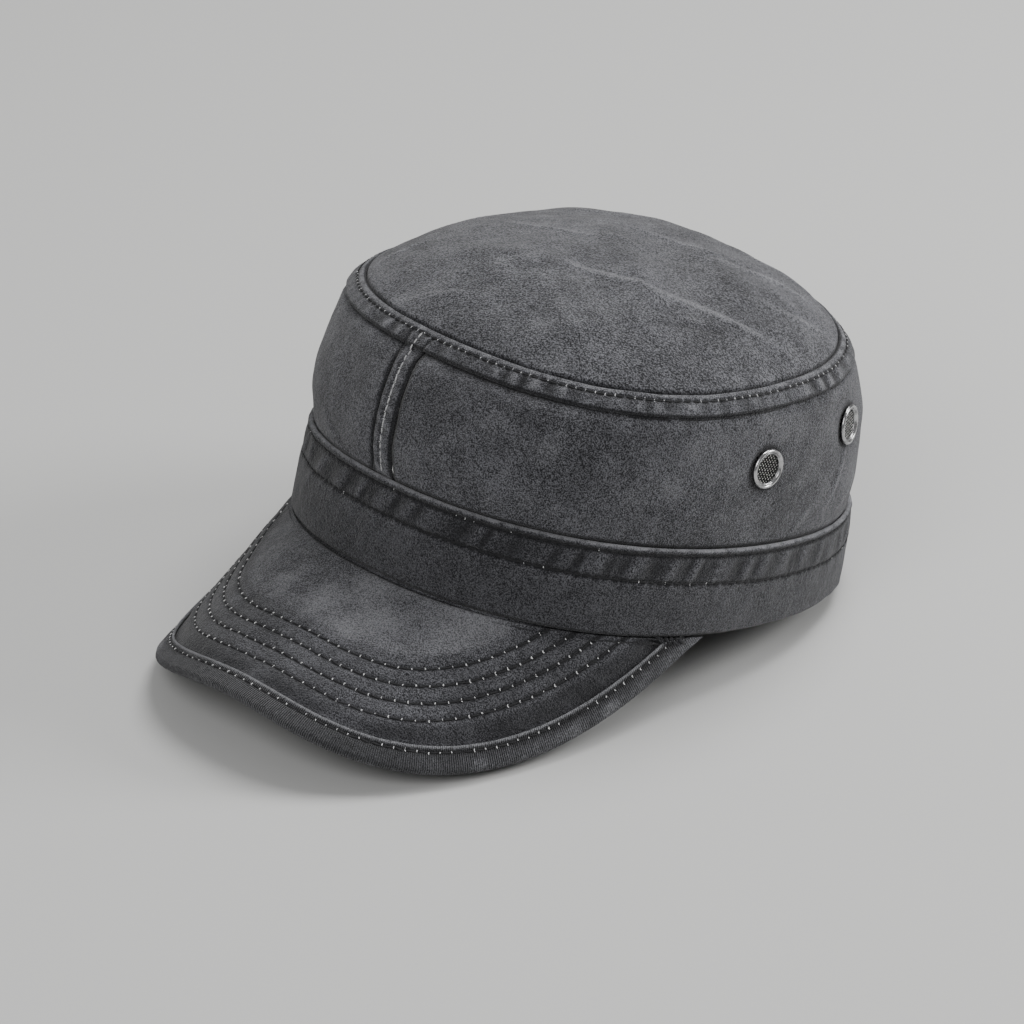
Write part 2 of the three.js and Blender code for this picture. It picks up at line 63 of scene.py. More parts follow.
# The camera that sees the cap as the photograph does, in degrees and metres, and the photograph's frame
CAMERA_AROUND = 45
CAMERA_ABOVE = 28.463
CAMERA_DISTANCE = 1.7056
CAMERA_AIM = (0.01306, -0.0126, 0.05)
SENSOR = 36
FRAME_PIXELS = 1024
FOCAL_PIXELS = 5000

FLOOR_SIZE = 6
WORLD_LIGHT = 0.25
LAMP_TARGET = (0, 0, 0.05)


class Lamp(NamedTuple):
    """A soft round light: its width in metres, its watts, and where it stands."""

    name: str
    width: float
    power: float
    place: tuple


LAMPS = (
    Lamp("key", 1.0, 22, (0.0, 0.75, 1.6)),
    Lamp("rim", 0.7, 18, (0.95, 1.25, 0.8)),
    Lamp("fill", 1.4, 19.5, (0.65, -1.5, 1.5)),
)


class Section(NamedTuple):
    """An outline of the crown. Lengths and forward shifts are shares of the rim's half length, widths of
    its half width, and nods and saddles of the wall's height. Square is 2 for an ellipse."""

    length: float
    width: float
    forward: float
    nod: float
    saddle: float
    square: float


RIM = Section(1, 1, 0, 0, 0.0175, 2.23)
FOLD = Section(0.984, 0.987, -0.002, 0.043, 0.01, 2.23)
CHEEK = Section(0.916, 0.989, 0.021, -0.03, 0.0155, 2.33)
SHOULDER = Section(0.813, 0.975, 0.035, -0.075, 0.019, 2.39)

# How far up from the band's fold to the shoulder the cheek is
CHEEK_SHARE = 0.62

# What a section's real values gain where it spreads or rises: height, length, width and the rest
SPREAD = np.array((0, 1, 1, 0, 0, 0, 0))
RAISED = np.array((1, 0, 0, 0, 0, 0, 0))

# The roll of the top ring between its two seams, as shares of its inset and rise
ROLL_INSET = 0.53
ROLL_RISE = 0.667

# How the dome flattens towards its middle
DOME_POWER = 2.9


class Fold(NamedTuple):
    """A fold or crease from A to B. A minus depth is a dent."""

    across_a: float
    along_a: float
    across_b: float
    along_b: float
    width: float
    depth: float


# Wall: degrees round from the front, shares of the wall's rise, then shares of the wall's height
WALL_FOLDS = (
    Fold(128, 0.72, 112, 0.12, 0.1, 0.014),
    Fold(104, 0.5, 96, 0.15, 0.12, -0.01),
    Fold(44, 0.85, 52, 0.35, 0.14, -0.008),
    Fold(20, 0.75, 14, 0.2, 0.12, -0.009),
    Fold(-24, 0.8, -16, 0.2, 0.12, -0.011),
    Fold(-90, 0.3, -102, 0.1, 0.12, 0.012),
    Fold(-152, 0.7, -144, 0.25, 0.12, -0.012),
    Fold(158, 0.75, 150, 0.2, 0.12, -0.012),
)

# Top: shares of its half width and half length, then shares of the dome's rise
TOP_FOLDS = (
    Fold(-0.1, 0.1, 0.45, -0.25, 0.3, 0.09),
    Fold(0.1, -0.35, 0.55, -0.5, 0.4, -0.07),
    Fold(-0.6, 0.1, -0.3, 0.4, 0.4, -0.06),
    Fold(-0.35, -0.55, 0, -0.4, 0.36, 0.05),
    Fold(0.3, 0.35, 0.6, 0.2, 0.3, 0.06),
)

# Sharp creases of the top, in the same columns: widths and depths in metres
TOP_CREASES = (
    Fold(0.0, -0.41, 0.53, -0.28, 0.0022, 0.0007),
    Fold(0.45, -0.32, 0.88, 0.1, 0.0026, 0.0008),
    Fold(-0.33, 0.1, 0.38, 0.34, 0.0024, 0.00055),
    Fold(-0.1, -0.05, 0.27, 0.0, 0.0022, 0.00035),
    Fold(0.3, 0.22, 0.7, 0.72, 0.0022, 0.0006),
    Fold(0.12, 0.6, 0.6, 0.76, 0.0024, 0.0006),
    Fold(-0.8, -0.74, -0.66, -0.5, 0.0024, 0.0007),
    Fold(-0.42, -0.98, -0.1, -0.83, 0.0024, 0.0005),
    Fold(-0.97, -0.4, -0.75, 0.15, 0.0024, 0.0006),
    Fold(-0.5, -0.2, -0.08, -0.07, 0.0022, 0.0004),
    Fold(0.58, -0.48, 0.76, -0.14, 0.003, -0.0005),
    Fold(0.69, 0.25, 0.86, 0.56, 0.0024, 0.0005),
    Fold(-0.55, 0.3, -0.1, 0.62, 0.0026, 0.0005),
    Fold(-0.2, 0.75, 0.3, 0.88, 0.0026, 0.0004),
)

# Sharp creases of the wall: degrees round and shares of its rise, widths and depths in metres
WALL_CREASES = (
    Fold(117, 0.6, 108.5, 0.14, 0.0017, 0.0009),
    Fold(126, 0.33, 115, 0.1, 0.0022, 0.0008),
    Fold(104, 0.26, 98, 0.03, 0.0026, 0.0005),
    # These two broad, shallow ones at 121° each side add little relief and are mostly a painted highlight
    # down the wall
    Fold(121, 0.62, 112, 0.0, 0.02, 0.0002),
    Fold(-121, 0.62, -112, 0.0, 0.02, 0.0002),
    Fold(-28, 0.3, -12, 0.0, 0.003, -0.0003),
    Fold(16, 0.92, 30, 0.74, 0.0028, -0.0004),
    Fold(-110, 0.6, -100, 0.15, 0.002, 0.0005),
    Fold(-60, 0.8, -48, 0.4, 0.003, 0.0003),
    Fold(-150, 0.75, -160, 0.3, 0.0026, 0.0004),
    Fold(160, 0.7, 149, 0.25, 0.0026, 0.0004),
)

# Wear and painted light: 0 on plain cloth, 1 where it is rubbed pale and where a highlight is painted, and -1
# where shade is painted into a recess. For each metre of its depth a crease has this much: pale on a ridge,
# as wear and a painted highlight, and painted shade in a dent
CREASE_WEAR_AND_PAINTED_LIGHT = 950


class Eyelet(NamedTuple):
    """A vent eyelet: degrees round from the front, and share of the wall's rise."""

    name: str
    turn: float
    share: float


EYELETS = (
    Eyelet("left_front", 85.3, 0.582),
    Eyelet("left_back", 116.4, 0.692),
    Eyelet("right_front", -85.3, 0.582),
    Eyelet("right_back", -116.4, 0.692),
)

# Degrees round from the front of the felled seams, at the band and at the ring
FRONT_SEAM = (-2.3, -8.0)
BACK_SEAM = (180.0, 180.0)


def length(name, default, description):
    """A size in metres that a user can change."""
    return FloatProperty(name=name, description=description, default=default, unit="LENGTH", precision=4)


def factor(name, default, description):
    """A bare number that a user can change."""
    return FloatProperty(name=name, description=description, default=default, subtype="FACTOR")


def colour(name, default, description):
    """A colour that a user can change."""
    return FloatVectorProperty(name=name, description=description, default=default, size=3,
                               min=0, max=1, subtype="COLOR")


class CrownSizes(bpy.types.PropertyGroup):
    """Sizes of the crown and the band."""

    rim_length: length("Rim length", 0.197, "Length outside the band, front to back")
    rim_width: length("Rim width", 0.179, "Width outside the band")
    band_height: length("Band height", 0.029, "From the rim to the band's fold")
    wall_height: length("Wall height", 0.08, "From the rim to the top ring")
    ring_rise: length("Ring rise", 0.006, "Height of the rolled top ring")
    ring_inset: length("Ring inset", 0.006, "How far the top ring rolls in")
    dome_rise: length("Dome rise", 0.022, "Height of the domed top")
    belly: length("Band belly", 0.0006, "How far the band stands out at half its height")
    cloth: length("Cloth", 0.0014, "The twill with its facing")
    band_cloth: length("Band cloth", 0.0022, "The doubled band")
    ring_cloth: length("Ring cloth", 0.0018, "The rolled ring")
    ring_lip: length("Ring lip", 0.001, "The ring's edges")
    seam_width: length("Seam width", 0.0092, "Width of a felled seam")
    seam_proud: length("Seam stands", 0.0005, "How far a felled seam stands proud")


class PeakSizes(bpy.types.PropertyGroup):
    """Sizes of the peak."""

    reach: length("Reach", 0.059, "From the rim's front to the peak's edge")
    width: length("Width", 0.165, "Across the peak")
    span: FloatProperty(name="Span", description="Part of the rim that carries the peak, in degrees",
                        default=151)
    square: factor("Squareness", 2.6, "How square the peak's corners are")
    skew: length("Skew", 0.0014, "How far its front leans to the wearer's right")
    slope: factor("Slope", 0.603, "How steeply it falls from the rim")
    arch: factor("Arch", 0.9, "How much steeper it falls at its sides")
    lift: length("Lift", 0.0026, "How far its edge lifts")
    board: length("Board", 0.0016, "Thickness of the quilted board")
    tuck: length("Tuck", 0.002, "How far its root runs under the band")
    binding_width: length("Binding width", 0.0094, "Width of the bound edge")
    binding_cloth: length("Binding cloth", 0.0007, "Thickness of the binding")
    gap: length("Gap", 0.0003, "Room between the pieces")
    press: length("Press", 0.0005, "How deep the cloth is pressed flat on the floor")


class StitchSizes(bpy.types.PropertyGroup):
    """Sizes of the threads."""

    thread: length("Thread", 0.00066, "Width of the top thread")
    pitch: length("Pitch", 0.0033, "Pitch of the crown's stitches")
    peak_pitch: length("Peak pitch", 0.0045, "Pitch of the peak's stitches")
    seam_pitch: length("Seam pitch", 0.0026, "Pitch of the felled seam's stitches")
    first_row: length("First row", 0.0176, "The peak's outermost row, in from its edge")
    row_step: length("Row step", 0.0064, "Between the peak's rows")


class EyeletSizes(bpy.types.PropertyGroup):
    """Sizes of the vent eyelets."""

    width: length("Width", 0.0138, "Across the flange")
    bore: length("Bore", 0.0108, "Across the opening")
    flange: length("Flange", 0.0015, "Height of the flange")
    wire: length("Wire", 0.0003, "Thickness of the mesh's wire")
    wire_pitch: length("Wire pitch", 0.00105, "Pitch of the mesh's wires")


class CapColours(bpy.types.PropertyGroup):
    """Colours of the cap."""

    twill: colour("Twill", (0.0121, 0.0122, 0.0145), "The washed twill")
    faded: colour("Faded", (0.147, 0.148, 0.163), "Its faded patches")
    # Pale for worn ridges and for painted highlights, and for the loose hairs
    worn_and_painted_light: colour("Worn", (0.252, 0.254, 0.27), "Its worn ridges")
    # Painted shade: the dark that the cloth goes where shade is painted into seams, grooves, recesses and
    # under parts
    recess_shade: colour("Recess", (0.009, 0.009, 0.011), "Its seams and recesses")
    thread: colour("Thread", (0.006, 0.006, 0.007), "The stitches")
    lint: colour("Lint", (0.5, 0.5, 0.51), "The pale flecks at the stitches")
    steel: colour("Steel", (0.5, 0.5, 0.505), "The eyelets")
    wire: colour("Wire", (0.9, 0.9, 0.89), "The eyelets' mesh")
    floor: colour("Floor", (0.62, 0.62, 0.61), "The floor")


# Steps of the grids, round and along each piece
BAND_STEPS = 700
RING_STEPS = 900
TOP_STEPS = (480, 100)
PANEL_STEPS = (360, 68)
SEAM_STEPS = (30, 120)
PEAK_STEPS = (270, 74)
BINDING_STEPS = 380

# Samples along the lines that are measured and stitched: round the crown, and along the peak's edge
ROUND_SAMPLES = 1441
EDGE_SAMPLES = 801
ROW_SAMPLES = 1201

# A place under the cap that the outside of all its cloth faces away from
CORE = Vector((0, 0, -0.05))

# The unevenness of each piece's cloth: heights and wave lengths in metres, and seeds
SWELLS = {
    "band": ((0.0003, 0.035, 6), (0.00014, 0.012, 7)),
    "wall": ((0.0004, 0.04, 21), (0.0002, 0.016, 22)),
    "ring": ((0.00015, 0.02, 43),),
    "top": ((0.0003, 0.045, 51), (0.0002, 0.017, 52)),
    "peak": ((0.00025, 0.03, 61), (0.0001, 0.012, 62)),
}

# The puckers that the seams draw up: how many go round the crown, and the seed of their unevenness
PUCKERS = {
    "band": (52, 11),
    "band threads": (118, 12),
    "band foot": (60, 14),
    "wall": (44, 24),
    "ring": (64, 41),
}

# Rises at even steps up the band, the wall and the top and out along the peak, closest at their seams
BAND_PACE = ((0, 0.038), (0.12, 0.1), (0.3, 0.5), (0.6, 0.68), (0.76, 0.86), (1, 0.962))
PEAK_PACE = ((0, 0), (0.14, 0.08), (1, 1))
WALL_PACE = ((0, 0.83), (0.1, 0.97), (0.26, 1.05), (0.76, 1.93), (0.9, 2.02), (1, 2.25))
TOP_PACE = ((0, 2.66), (0.05, 2.98), (0.15, 3.03), (0.2, 3.06), (1, 4))

# Where the rows of stitches lie: the rise on the ring, and metres below the band's fold and in from
# the binding's fold
TOPSTITCH_RISE = 2.58
BAND_STITCH = 0.0021
BINDING_STITCH = 0.0022

# Half the width of the groove that a row pulls into the cloth
CUT = 0.0007

# The peak's rows, and how many rows in its plain cloth begins
PEAK_ROWS = 4
PLAIN_ROW = 3.4

# How many of the binding's stitches go to one of the peak's
BINDING_PACE = 1.15

# How far the quilted top lies under the binding's, as a share of the binding's cloth and gap
BOARD_SINK = 0.35

# How far into the cloth the second point goes that gives a line's normals
PROBE = 0.001

# Half the length of a fleck of lint, in fine rows and in those of this pitch or more
FINE_LINT = 0.00025
COARSE_LINT = 0.00035
COARSE_PITCH = 0.0035

# Room in the cloth round an eyelet's bore
HOLE_ROOM = 0.0006

# The eyelets' mesh: room round it and under it, how it is turned, and the sides of its wires
MESH_ROOM = 0.0001
MESH_TURN = 0.35
WIRE_SIDES = 5


def smooth(value, start, end):
    """From 0 at the start to 1 at the end, eased at both."""
    t = np.clip((value - start) / (end - start), 0, 1)
    return t * t * (3 - 2 * t)


def through(a, b, c, middle, t):
    """The value at t of the curve through a at 0, b at middle and c at 1."""
    at_a = a * (t - middle) * (t - 1) / middle
    at_b = b * t * (t - 1) / (middle * (middle - 1))
    at_c = c * t * (t - middle) / (1 - middle)
    return at_a + at_b + at_c


def unit(vectors):
    """The vectors made one long."""
    return vectors / (np.linalg.norm(vectors, axis=-1, keepdims=True) + 1e-12)


def ripples(points, wave, seed, count=16):
    """Smooth seeded noise over 3-D points, of about one wave length, mostly from -1 to 1."""
    rng = np.random.default_rng(seed)
    total = np.zeros(points.shape[:-1])
    for _ in range(count):
        direction = unit(rng.normal(size=3))
        pace = ROUND / (wave * rng.uniform(0.6, 1.7))
        total += np.sin(points @ direction * pace + rng.uniform(0, ROUND))
    return total / np.sqrt(count)


def beat(turn, seam):
    """A seam's puckers as unevenly spaced waves round the crown, from -1 to 1."""
    count, seed = PUCKERS[seam]
    rng = np.random.default_rng(seed)
    phase = count * turn
    for harmonic in range(2, 9):
        phase = phase + rng.uniform(0.3, 0.8) * np.sin(harmonic * 3 * turn + rng.uniform(0, ROUND))
    return np.sin(phase)


def paced(v, table):
    """The value at v of a table of even steps and values."""
    return np.interp(v, *zip(*table))


def groove(distance, width):
    """How near a place is to a line, from 1 on it to nothing beyond about two widths."""
    return np.exp(-(distance / width) ** 2)


def stitch_wave(distance, pitch):
    """How near a distance along a row is to the middle of a stitch, from 0 to 1."""
    return 0.5 - 0.5 * np.cos(ROUND * distance / pitch)


def hump(share, power):
    """From 0 at a share of 0 up to 1 at a half and back to 0 at 1. A smaller power fills it out."""
    return np.sin(np.pi * np.clip(share, 0, 1)) ** power


def distances_along(points):
    """How far along a line of points each one lies."""
    steps = np.linalg.norm(np.diff(points, axis=0), axis=-1)
    return np.concatenate(((0,), np.cumsum(steps)))


def swell(points, piece_name):
    """The slow unevenness of a piece's cloth, which its stitches follow."""
    return sum(high * ripples(points, wave, seed) for high, wave, seed in SWELLS[piece_name])


def nearness(x, y, ax, ay, bx, by, width):
    """How near a point is to a fold's line, from 1 on it to 0 well away."""
    span = np.hypot(bx - ax, by - ay)
    t = ((x - ax) * (bx - ax) + (y - ay) * (by - ay)) / span ** 2
    end = np.maximum(np.maximum(-t, t - 1), 0) * span
    side = np.abs((x - ax) * (by - ay) - (y - ay) * (bx - ax)) / span
    return np.exp(-(side ** 2 + end ** 2) / width ** 2)


def taper(x, y, ax, ay, bx, by):
    """Full along the middle of a crease and fading to its two ends."""
    span = np.hypot(bx - ax, by - ay)
    t = ((x - ax) * (bx - ax) + (y - ay) * (by - ay)) / span ** 2
    return hump(t, 0.7)


class Crown:
    """The crown's outside, over the turn in radians from the front towards the wearer's left, and the
    rise: 0 rim, 1 band's fold, 2 ring's lower seam, 3 ring's upper seam, 4 middle of the dome."""

    def __init__(self, sizes, gap):
        self.sizes = sizes
        self.gap = gap
        self.half_length = sizes.rim_length / 2
        self.half_width = sizes.rim_width / 2
        self.rim = self.section(RIM, 0)
        self.fold = self.section(FOLD, sizes.band_height)
        cheek_height = sizes.band_height + CHEEK_SHARE * (sizes.wall_height - sizes.band_height)
        self.cheek = self.section(CHEEK, cheek_height)
        self.shoulder = self.section(SHOULDER, sizes.wall_height)

    def section(self, row, height):
        """A section's real height, length, width, back, nod, saddle and squareness."""
        wall = self.sizes.wall_height
        return np.array((height, row.length * self.half_length, row.width * self.half_width,
                         -row.forward * self.half_length, row.nod * wall, row.saddle * wall, row.square))

    def level(self, rise):
        """The section at a rise: height, length, width, back, nod, saddle and squareness."""
        rise = np.asarray(rise, float)[..., None]
        low = np.clip(rise, 0, 1)
        belly = self.sizes.belly * np.sin(np.pi * low)
        band = self.rim + (self.fold - self.rim) * low + belly * SPREAD
        wall = through(self.fold, self.cheek, self.shoulder, CHEEK_SHARE, np.clip(rise - 1, 0, 1))
        high = np.clip(rise - 2, 0, 1)
        inset = self.sizes.ring_inset * through(0, ROLL_INSET, 1, 0.5, high)
        lift = self.sizes.ring_rise * through(0, ROLL_RISE, 1, 0.5, high)
        ring = self.shoulder + lift * RAISED - inset * SPREAD
        chosen = np.where(rise <= 1, band, np.where(rise <= 2, wall, ring))
        return np.moveaxis(chosen, -1, 0)

    def reach(self, turn, rise):
        """How far the outline is from its middle."""
        _, long, wide, _, _, _, square = self.level(rise)
        along = np.abs(np.cos(turn)) / long
        across = np.abs(np.sin(turn)) / wide
        return (along ** square + across ** square) ** (-1 / square)

    def wall_folds(self, turn, share):
        """How far the broad folds push the wall out, at a share of the wall's rise."""
        wall = self.sizes.wall_height
        drop = wall - self.sizes.band_height
        across = (turn + np.pi) % ROUND - np.pi
        total = 0
        for fold in WALL_FOLDS:
            near = nearness(across * self.half_width, share * drop,
                            np.radians(fold.across_a) * self.half_width, fold.along_a * drop,
                            np.radians(fold.across_b) * self.half_width, fold.along_b * drop,
                            fold.width * wall)
            total = total + near * fold.depth * wall
        return total * hump(share, 1)

    def outside(self, turn, rise):
        """A point of the cloth's outside, on the cap as it stands level."""
        turn, rise = np.broadcast_arrays(np.asarray(turn, float), np.asarray(rise, float))
        height, long, wide, back, nod, saddle, square = self.level(rise)
        inward = np.where(rise <= 3, 1, np.clip(4 - rise, 0, 1))
        bulge = np.where((rise > 1) & (rise < 2), self.wall_folds(turn, rise - 1), 0)
        r = (self.reach(turn, rise) + bulge) * inward
        x = r * np.sin(turn)
        y = -r * np.cos(turn)
        z = height + nod * inward * np.cos(turn) + saddle * inward ** 2 * np.cos(2 * turn)
        dome = self.sizes.dome_rise * (1 - inward ** DOME_POWER)
        for fold in TOP_FOLDS:
            near = nearness(x, y, fold.across_a * wide, fold.along_a * long,
                            fold.across_b * wide, fold.along_b * long, fold.width * self.sizes.dome_rise)
            dome = dome + near * fold.depth * self.sizes.dome_rise * (1 - inward ** 4)
        z = z + np.where(rise <= 3, 0, dome)
        return np.stack((x, y + back, z), -1)

    def normal(self, turn, rise):
        """The direction straight out of the cloth."""
        step = 0.004
        rise = np.minimum(rise, 3.99)
        round_ = self.outside(turn + step, rise) - self.outside(turn - step, rise)
        up = self.outside(turn, rise + step) - self.outside(turn, rise - step)
        return unit(np.cross(round_, up))

    def inside(self, turn, rise, depth):
        """A point of the outside, moved in square to the cloth by a depth."""
        return self.outside(turn, rise) - self.normal(turn, rise) * np.asarray(depth)[..., None]

    def wall_depth(self, rise):
        """How deep the wall lies: behind the band, out to the full wall, then behind the ring."""
        lip = self.sizes.ring_lip
        eased = 0.55 * smooth(rise, 0.975, 1.025) + 0.45 * smooth(rise, 1.01, 1.3)
        behind_band = (self.sizes.band_cloth + self.gap) * (1 - eased)
        under_lip = (lip + self.gap) * smooth(rise, 1.9, 2)
        under_roll = lip + (self.sizes.ring_cloth - lip) * np.clip((rise - 2) / 0.5, 0, 1) + self.gap
        return behind_band + np.where(rise <= 2, under_lip, under_roll)

    def seam_turn(self, seam, rise):
        """How far round from the front a felled seam runs, at a rise."""
        low, high = seam
        return np.radians(low + (high - low) * np.clip(rise - 1, 0, 1))


class Peak:
    """The peak's top, over across from -1 to 1 and out from the rim at 0 to the edge at 1."""

    def __init__(self, sizes, crown):
        self.sizes = sizes
        self.crown = crown
        half = np.radians(sizes.span / 2)
        turn = np.arctan2(crown.half_width * np.sin(half), crown.half_length * np.cos(half))
        self.end = self.rim_line(turn, 0)
        self.leaf = sizes.binding_cloth + sizes.gap
        self.thickness = sizes.board + 2 * self.leaf

    def rim_line(self, turn, inset):
        """The rim's outline in plan, moved in."""
        r = self.crown.reach(turn, np.zeros_like(turn)) - inset
        return np.stack((r * np.sin(turn), -r * np.cos(turn)), -1)

    def edge(self, share):
        """The peak's edge in plan."""
        sizes = self.sizes
        power = 2 / sizes.square
        angle = share * np.pi / 2
        ahead = np.abs(np.cos(angle)) ** power
        aside = np.abs(np.sin(angle))
        flare = self.end[0] - sizes.width / 2
        x = np.sign(share) * (sizes.width / 2 * aside ** power + flare * (1 - ahead) * aside)
        y = self.end[1] - (sizes.reach + self.crown.half_length + self.end[1]) * ahead
        return np.stack((x - sizes.skew * ahead, y), -1)

    def height(self, x, y):
        """The height of the peak's top over a place in plan."""
        sizes = self.sizes
        _, long, wide, _, _, saddle, square = self.crown.rim
        across = np.minimum(np.abs(x) / wide, 0.995)
        rim_y = -long * (1 - across ** square) ** (1 / square)
        ahead = np.maximum(rim_y - y, 0)
        rise = saddle * np.cos(2 * np.arctan2(x, -y)) * (1 - smooth(ahead, 0, sizes.reach / 2))
        lift = sizes.lift * (ahead / sizes.reach) ** 2
        return rise - sizes.gap - sizes.slope * (1 + sizes.arch * across ** 2) * ahead + lift

    def top(self, across, out):
        """A point of the peak's top."""
        edge = self.edge(across)
        root = self.rim_line(np.arctan2(edge[..., 0], -edge[..., 1]), self.sizes.tuck)
        plan = root + (edge - root) * np.asarray(out)[..., None]
        return np.concatenate((plan, self.height(plan[..., 0], plan[..., 1])[..., None]), -1)

    def slopes(self, across, out):
        """How the top runs on for each unit across and out."""
        step = 0.005
        left = np.maximum(across - step, -1)
        right = np.minimum(across + step, 1)
        round_ = (self.top(right, out) - self.top(left, out)) / (right - left)[..., None]
        ahead = (self.top(across, out + step) - self.top(across, out - step)) / (2 * step)
        return round_, ahead

    def point(self, across, out, depth):
        """A point of the top, moved down square to it by a depth."""
        round_, ahead = self.slopes(across, out)
        return self.top(across, out) - unit(np.cross(ahead, round_)) * np.asarray(depth)[..., None]

    def in_from_edge(self, across, distance, steps=6):
        """Across and out of the place a distance in from the edge, square to it over the top."""
        here = np.array(across, float)
        out = np.ones_like(here)
        tangent = unit(self.slopes(here, out)[0])
        stride = np.broadcast_to(distance, here.shape)[..., None] / steps
        for _ in range(steps):
            round_, ahead = self.slopes(here, out)
            inward = unit(np.cross(unit(np.cross(ahead, round_)), tangent)) * stride
            # How far across and out that stride is, by the two slopes' lengths and the angle between them
            rr, ra, aa = (round_ ** 2).sum(-1), (round_ * ahead).sum(-1), (ahead ** 2).sum(-1)
            ri, ai = (round_ * inward).sum(-1), (ahead * inward).sum(-1)
            area = rr * aa - ra * ra
            here = np.clip(here + (ri * aa - ai * ra) / area, -1, 1)
            out = out + (ai * rr - ri * ra) / area
        return here, out

    def span(self, across):
        """From the root, under the band, to the edge."""
        return np.linalg.norm(self.top(across, across * 0) - self.top(across, across * 0 + 1), axis=-1)

    def edge_distance(self, points):
        """How far points lie from the peak's edge."""
        line = self.top(np.linspace(-1, 1, 500), np.ones(500))
        nearest = [np.linalg.norm(line - point, axis=-1).min() for point in points.reshape(-1, 3)]
        return np.array(nearest).reshape(points.shape[:-1])


class Rest:
    """How the cap leans at rest, on the back of its rim and the corners of its peak."""

    def __init__(self, crown, peak):
        back = crown.outside(np.pi, 0)
        shares = np.linspace(-1, 1, 37)
        across, out = peak.in_from_edge(shares, peak.sizes.binding_cloth)
        low = peak.point(across, out, np.full(len(shares), peak.thickness))
        self.lean = np.arctan2(back[2] - low[:, 2], back[1] - low[:, 1]).max()
        drop = back[1] * np.sin(self.lean) - back[2] * np.cos(self.lean) - peak.sizes.press
        self.shift = np.array((0, 0, drop))
        ring = self.place(crown.outside(np.linspace(0, ROUND, 361), 2.5))
        low_corner, high_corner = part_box("top_ring")
        middle = (np.array(low_corner) + np.array(high_corner)) / 2
        own = (ring.min(0) + ring.max(0)) / 2
        self.shift = self.shift + np.array((middle[0] - own[0], middle[1] - own[1], 0))

    def place(self, points):
        """Points of the level cap, moved to where they lie at rest."""
        c, s = np.cos(self.lean), np.sin(self.lean)
        x, y, z = np.moveaxis(points, -1, 0)
        return np.stack((x, y * c + z * s, z * c - y * s), -1) + self.shift

    def settle(self, points):
        """The same, with the cloth pressed flat on the floor."""
        placed = self.place(points)
        placed[..., 2] = np.maximum(placed[..., 2], 0)
        return placed


class Cap:
    """The shapes and sizes that all the operators share."""

    def __init__(self, scene):
        self.sizes = scene.cap_crown
        self.peak_sizes = scene.cap_peak
        self.stitches = scene.cap_stitches
        self.eyelets = scene.cap_eyelets
        self.crown = Crown(self.sizes, self.peak_sizes.gap)
        self.peak = Peak(self.peak_sizes, self.crown)
        self.rest = Rest(self.crown, self.peak)

    def lower_row(self, turn):
        """The rise of the band's lower row of stitches, which is highest at the front."""
        return 0.585 + 0.06 * np.cos(turn - 0.2)

    def arc(self, rise):
        """Turns round the crown and the distances round to them, at one rise."""
        turns = np.linspace(-np.pi, np.pi, ROUND_SAMPLES)
        return turns, distances_along(self.crown.outside(turns, rise))

    def dashes(self, turn, rise):
        """How near a place round a row is to the middle of a stitch, from 0 to 1."""
        turns, distances = self.arc(rise)
        count = round(distances[-1] / self.stitches.pitch)
        return stitch_wave(np.interp(turn, turns, distances), distances[-1] / count)

    def line(self, surface, first, second, depth):
        """Points at a depth in a surface of the crown or the peak, at rest, and the normals there."""
        points = self.rest.place(surface(first, second, depth))
        deeper = self.rest.place(surface(first, second, depth + PROBE))
        return points, unit(points - deeper)


def sheet(name, columns, rows, place, thickness=0.0, holes=()):
    """A cloth piece: a flat grid bent to place(u, v), joined where it meets itself, then thickened
    inwards. place gives each vertex its point, its place on the cloth in millimetres and its wear and painted
    light."""
    bm = bmesh.new()
    cloth = bm.loops.layers.uv.new("cloth")
    wear_and_painted_light = bm.verts.layers.float.new("wear_and_painted_light")
    bmesh.ops.create_grid(bm, x_segments=columns, y_segments=rows, size=0.5)
    bm.verts.index_update()
    flat = np.array([vert.co[:2] for vert in bm.verts]) + 0.5
    points, laid, worn_and_painted_light = place(flat[:, 0], flat[:, 1])
    for vert, point, amount in zip(bm.verts, points, worn_and_painted_light):
        vert.co = point
        vert[wear_and_painted_light] = amount
    for face in bm.faces:
        for loop in face.loops:
            loop[cloth].uv = laid[loop.vert.index]
    bmesh.ops.remove_doubles(bm, verts=bm.verts[:], dist=1e-6)
    for middle, radius in holes:
        cut_hole(bm, middle, radius)
    bmesh.ops.recalc_face_normals(bm, faces=bm.faces[:])
    if sum((face.calc_center_median() - CORE).dot(face.normal) for face in bm.faces) < 0:
        bmesh.ops.reverse_faces(bm, faces=bm.faces[:])
    made = piece(name, bm)
    if thickness:
        wall = made.modifiers.new("thickness", "SOLIDIFY")
        wall.thickness = thickness
        wall.offset = -1
    return made


def cut_hole(bm, middle, radius):
    """Cut a round hole in a grid of cells that are smaller than it."""
    inside = [vert for vert in bm.verts if (vert.co - middle).length < radius]
    rim = {edge.other_vert(vert) for vert in inside for edge in vert.link_edges} - set(inside)
    bmesh.ops.delete(bm, geom=inside, context="VERTS")
    for vert in rim:
        vert.co = middle + (vert.co - middle).normalized() * radius


def put(name, mesh):
    """A finished mesh, put into the scene as a piece of the cap."""
    mesh.shade_smooth()
    made = bpy.data.objects.new(name, mesh)
    bpy.context.scene.collection.objects.link(made)
    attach(made, "root")
    return made


def piece(name, bm):
    """A finished bmesh as a piece of the cap."""
    mesh = bpy.data.meshes.new(name)
    bm.to_mesh(mesh)
    bm.free()
    return put(name, mesh)


def dress(made, material, slot, *nodes):
    """Give a piece its material and hide the nodes that it stands for. Its slot is not used."""
    made.data.materials.append(material)
    if nodes:
        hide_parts(*nodes)


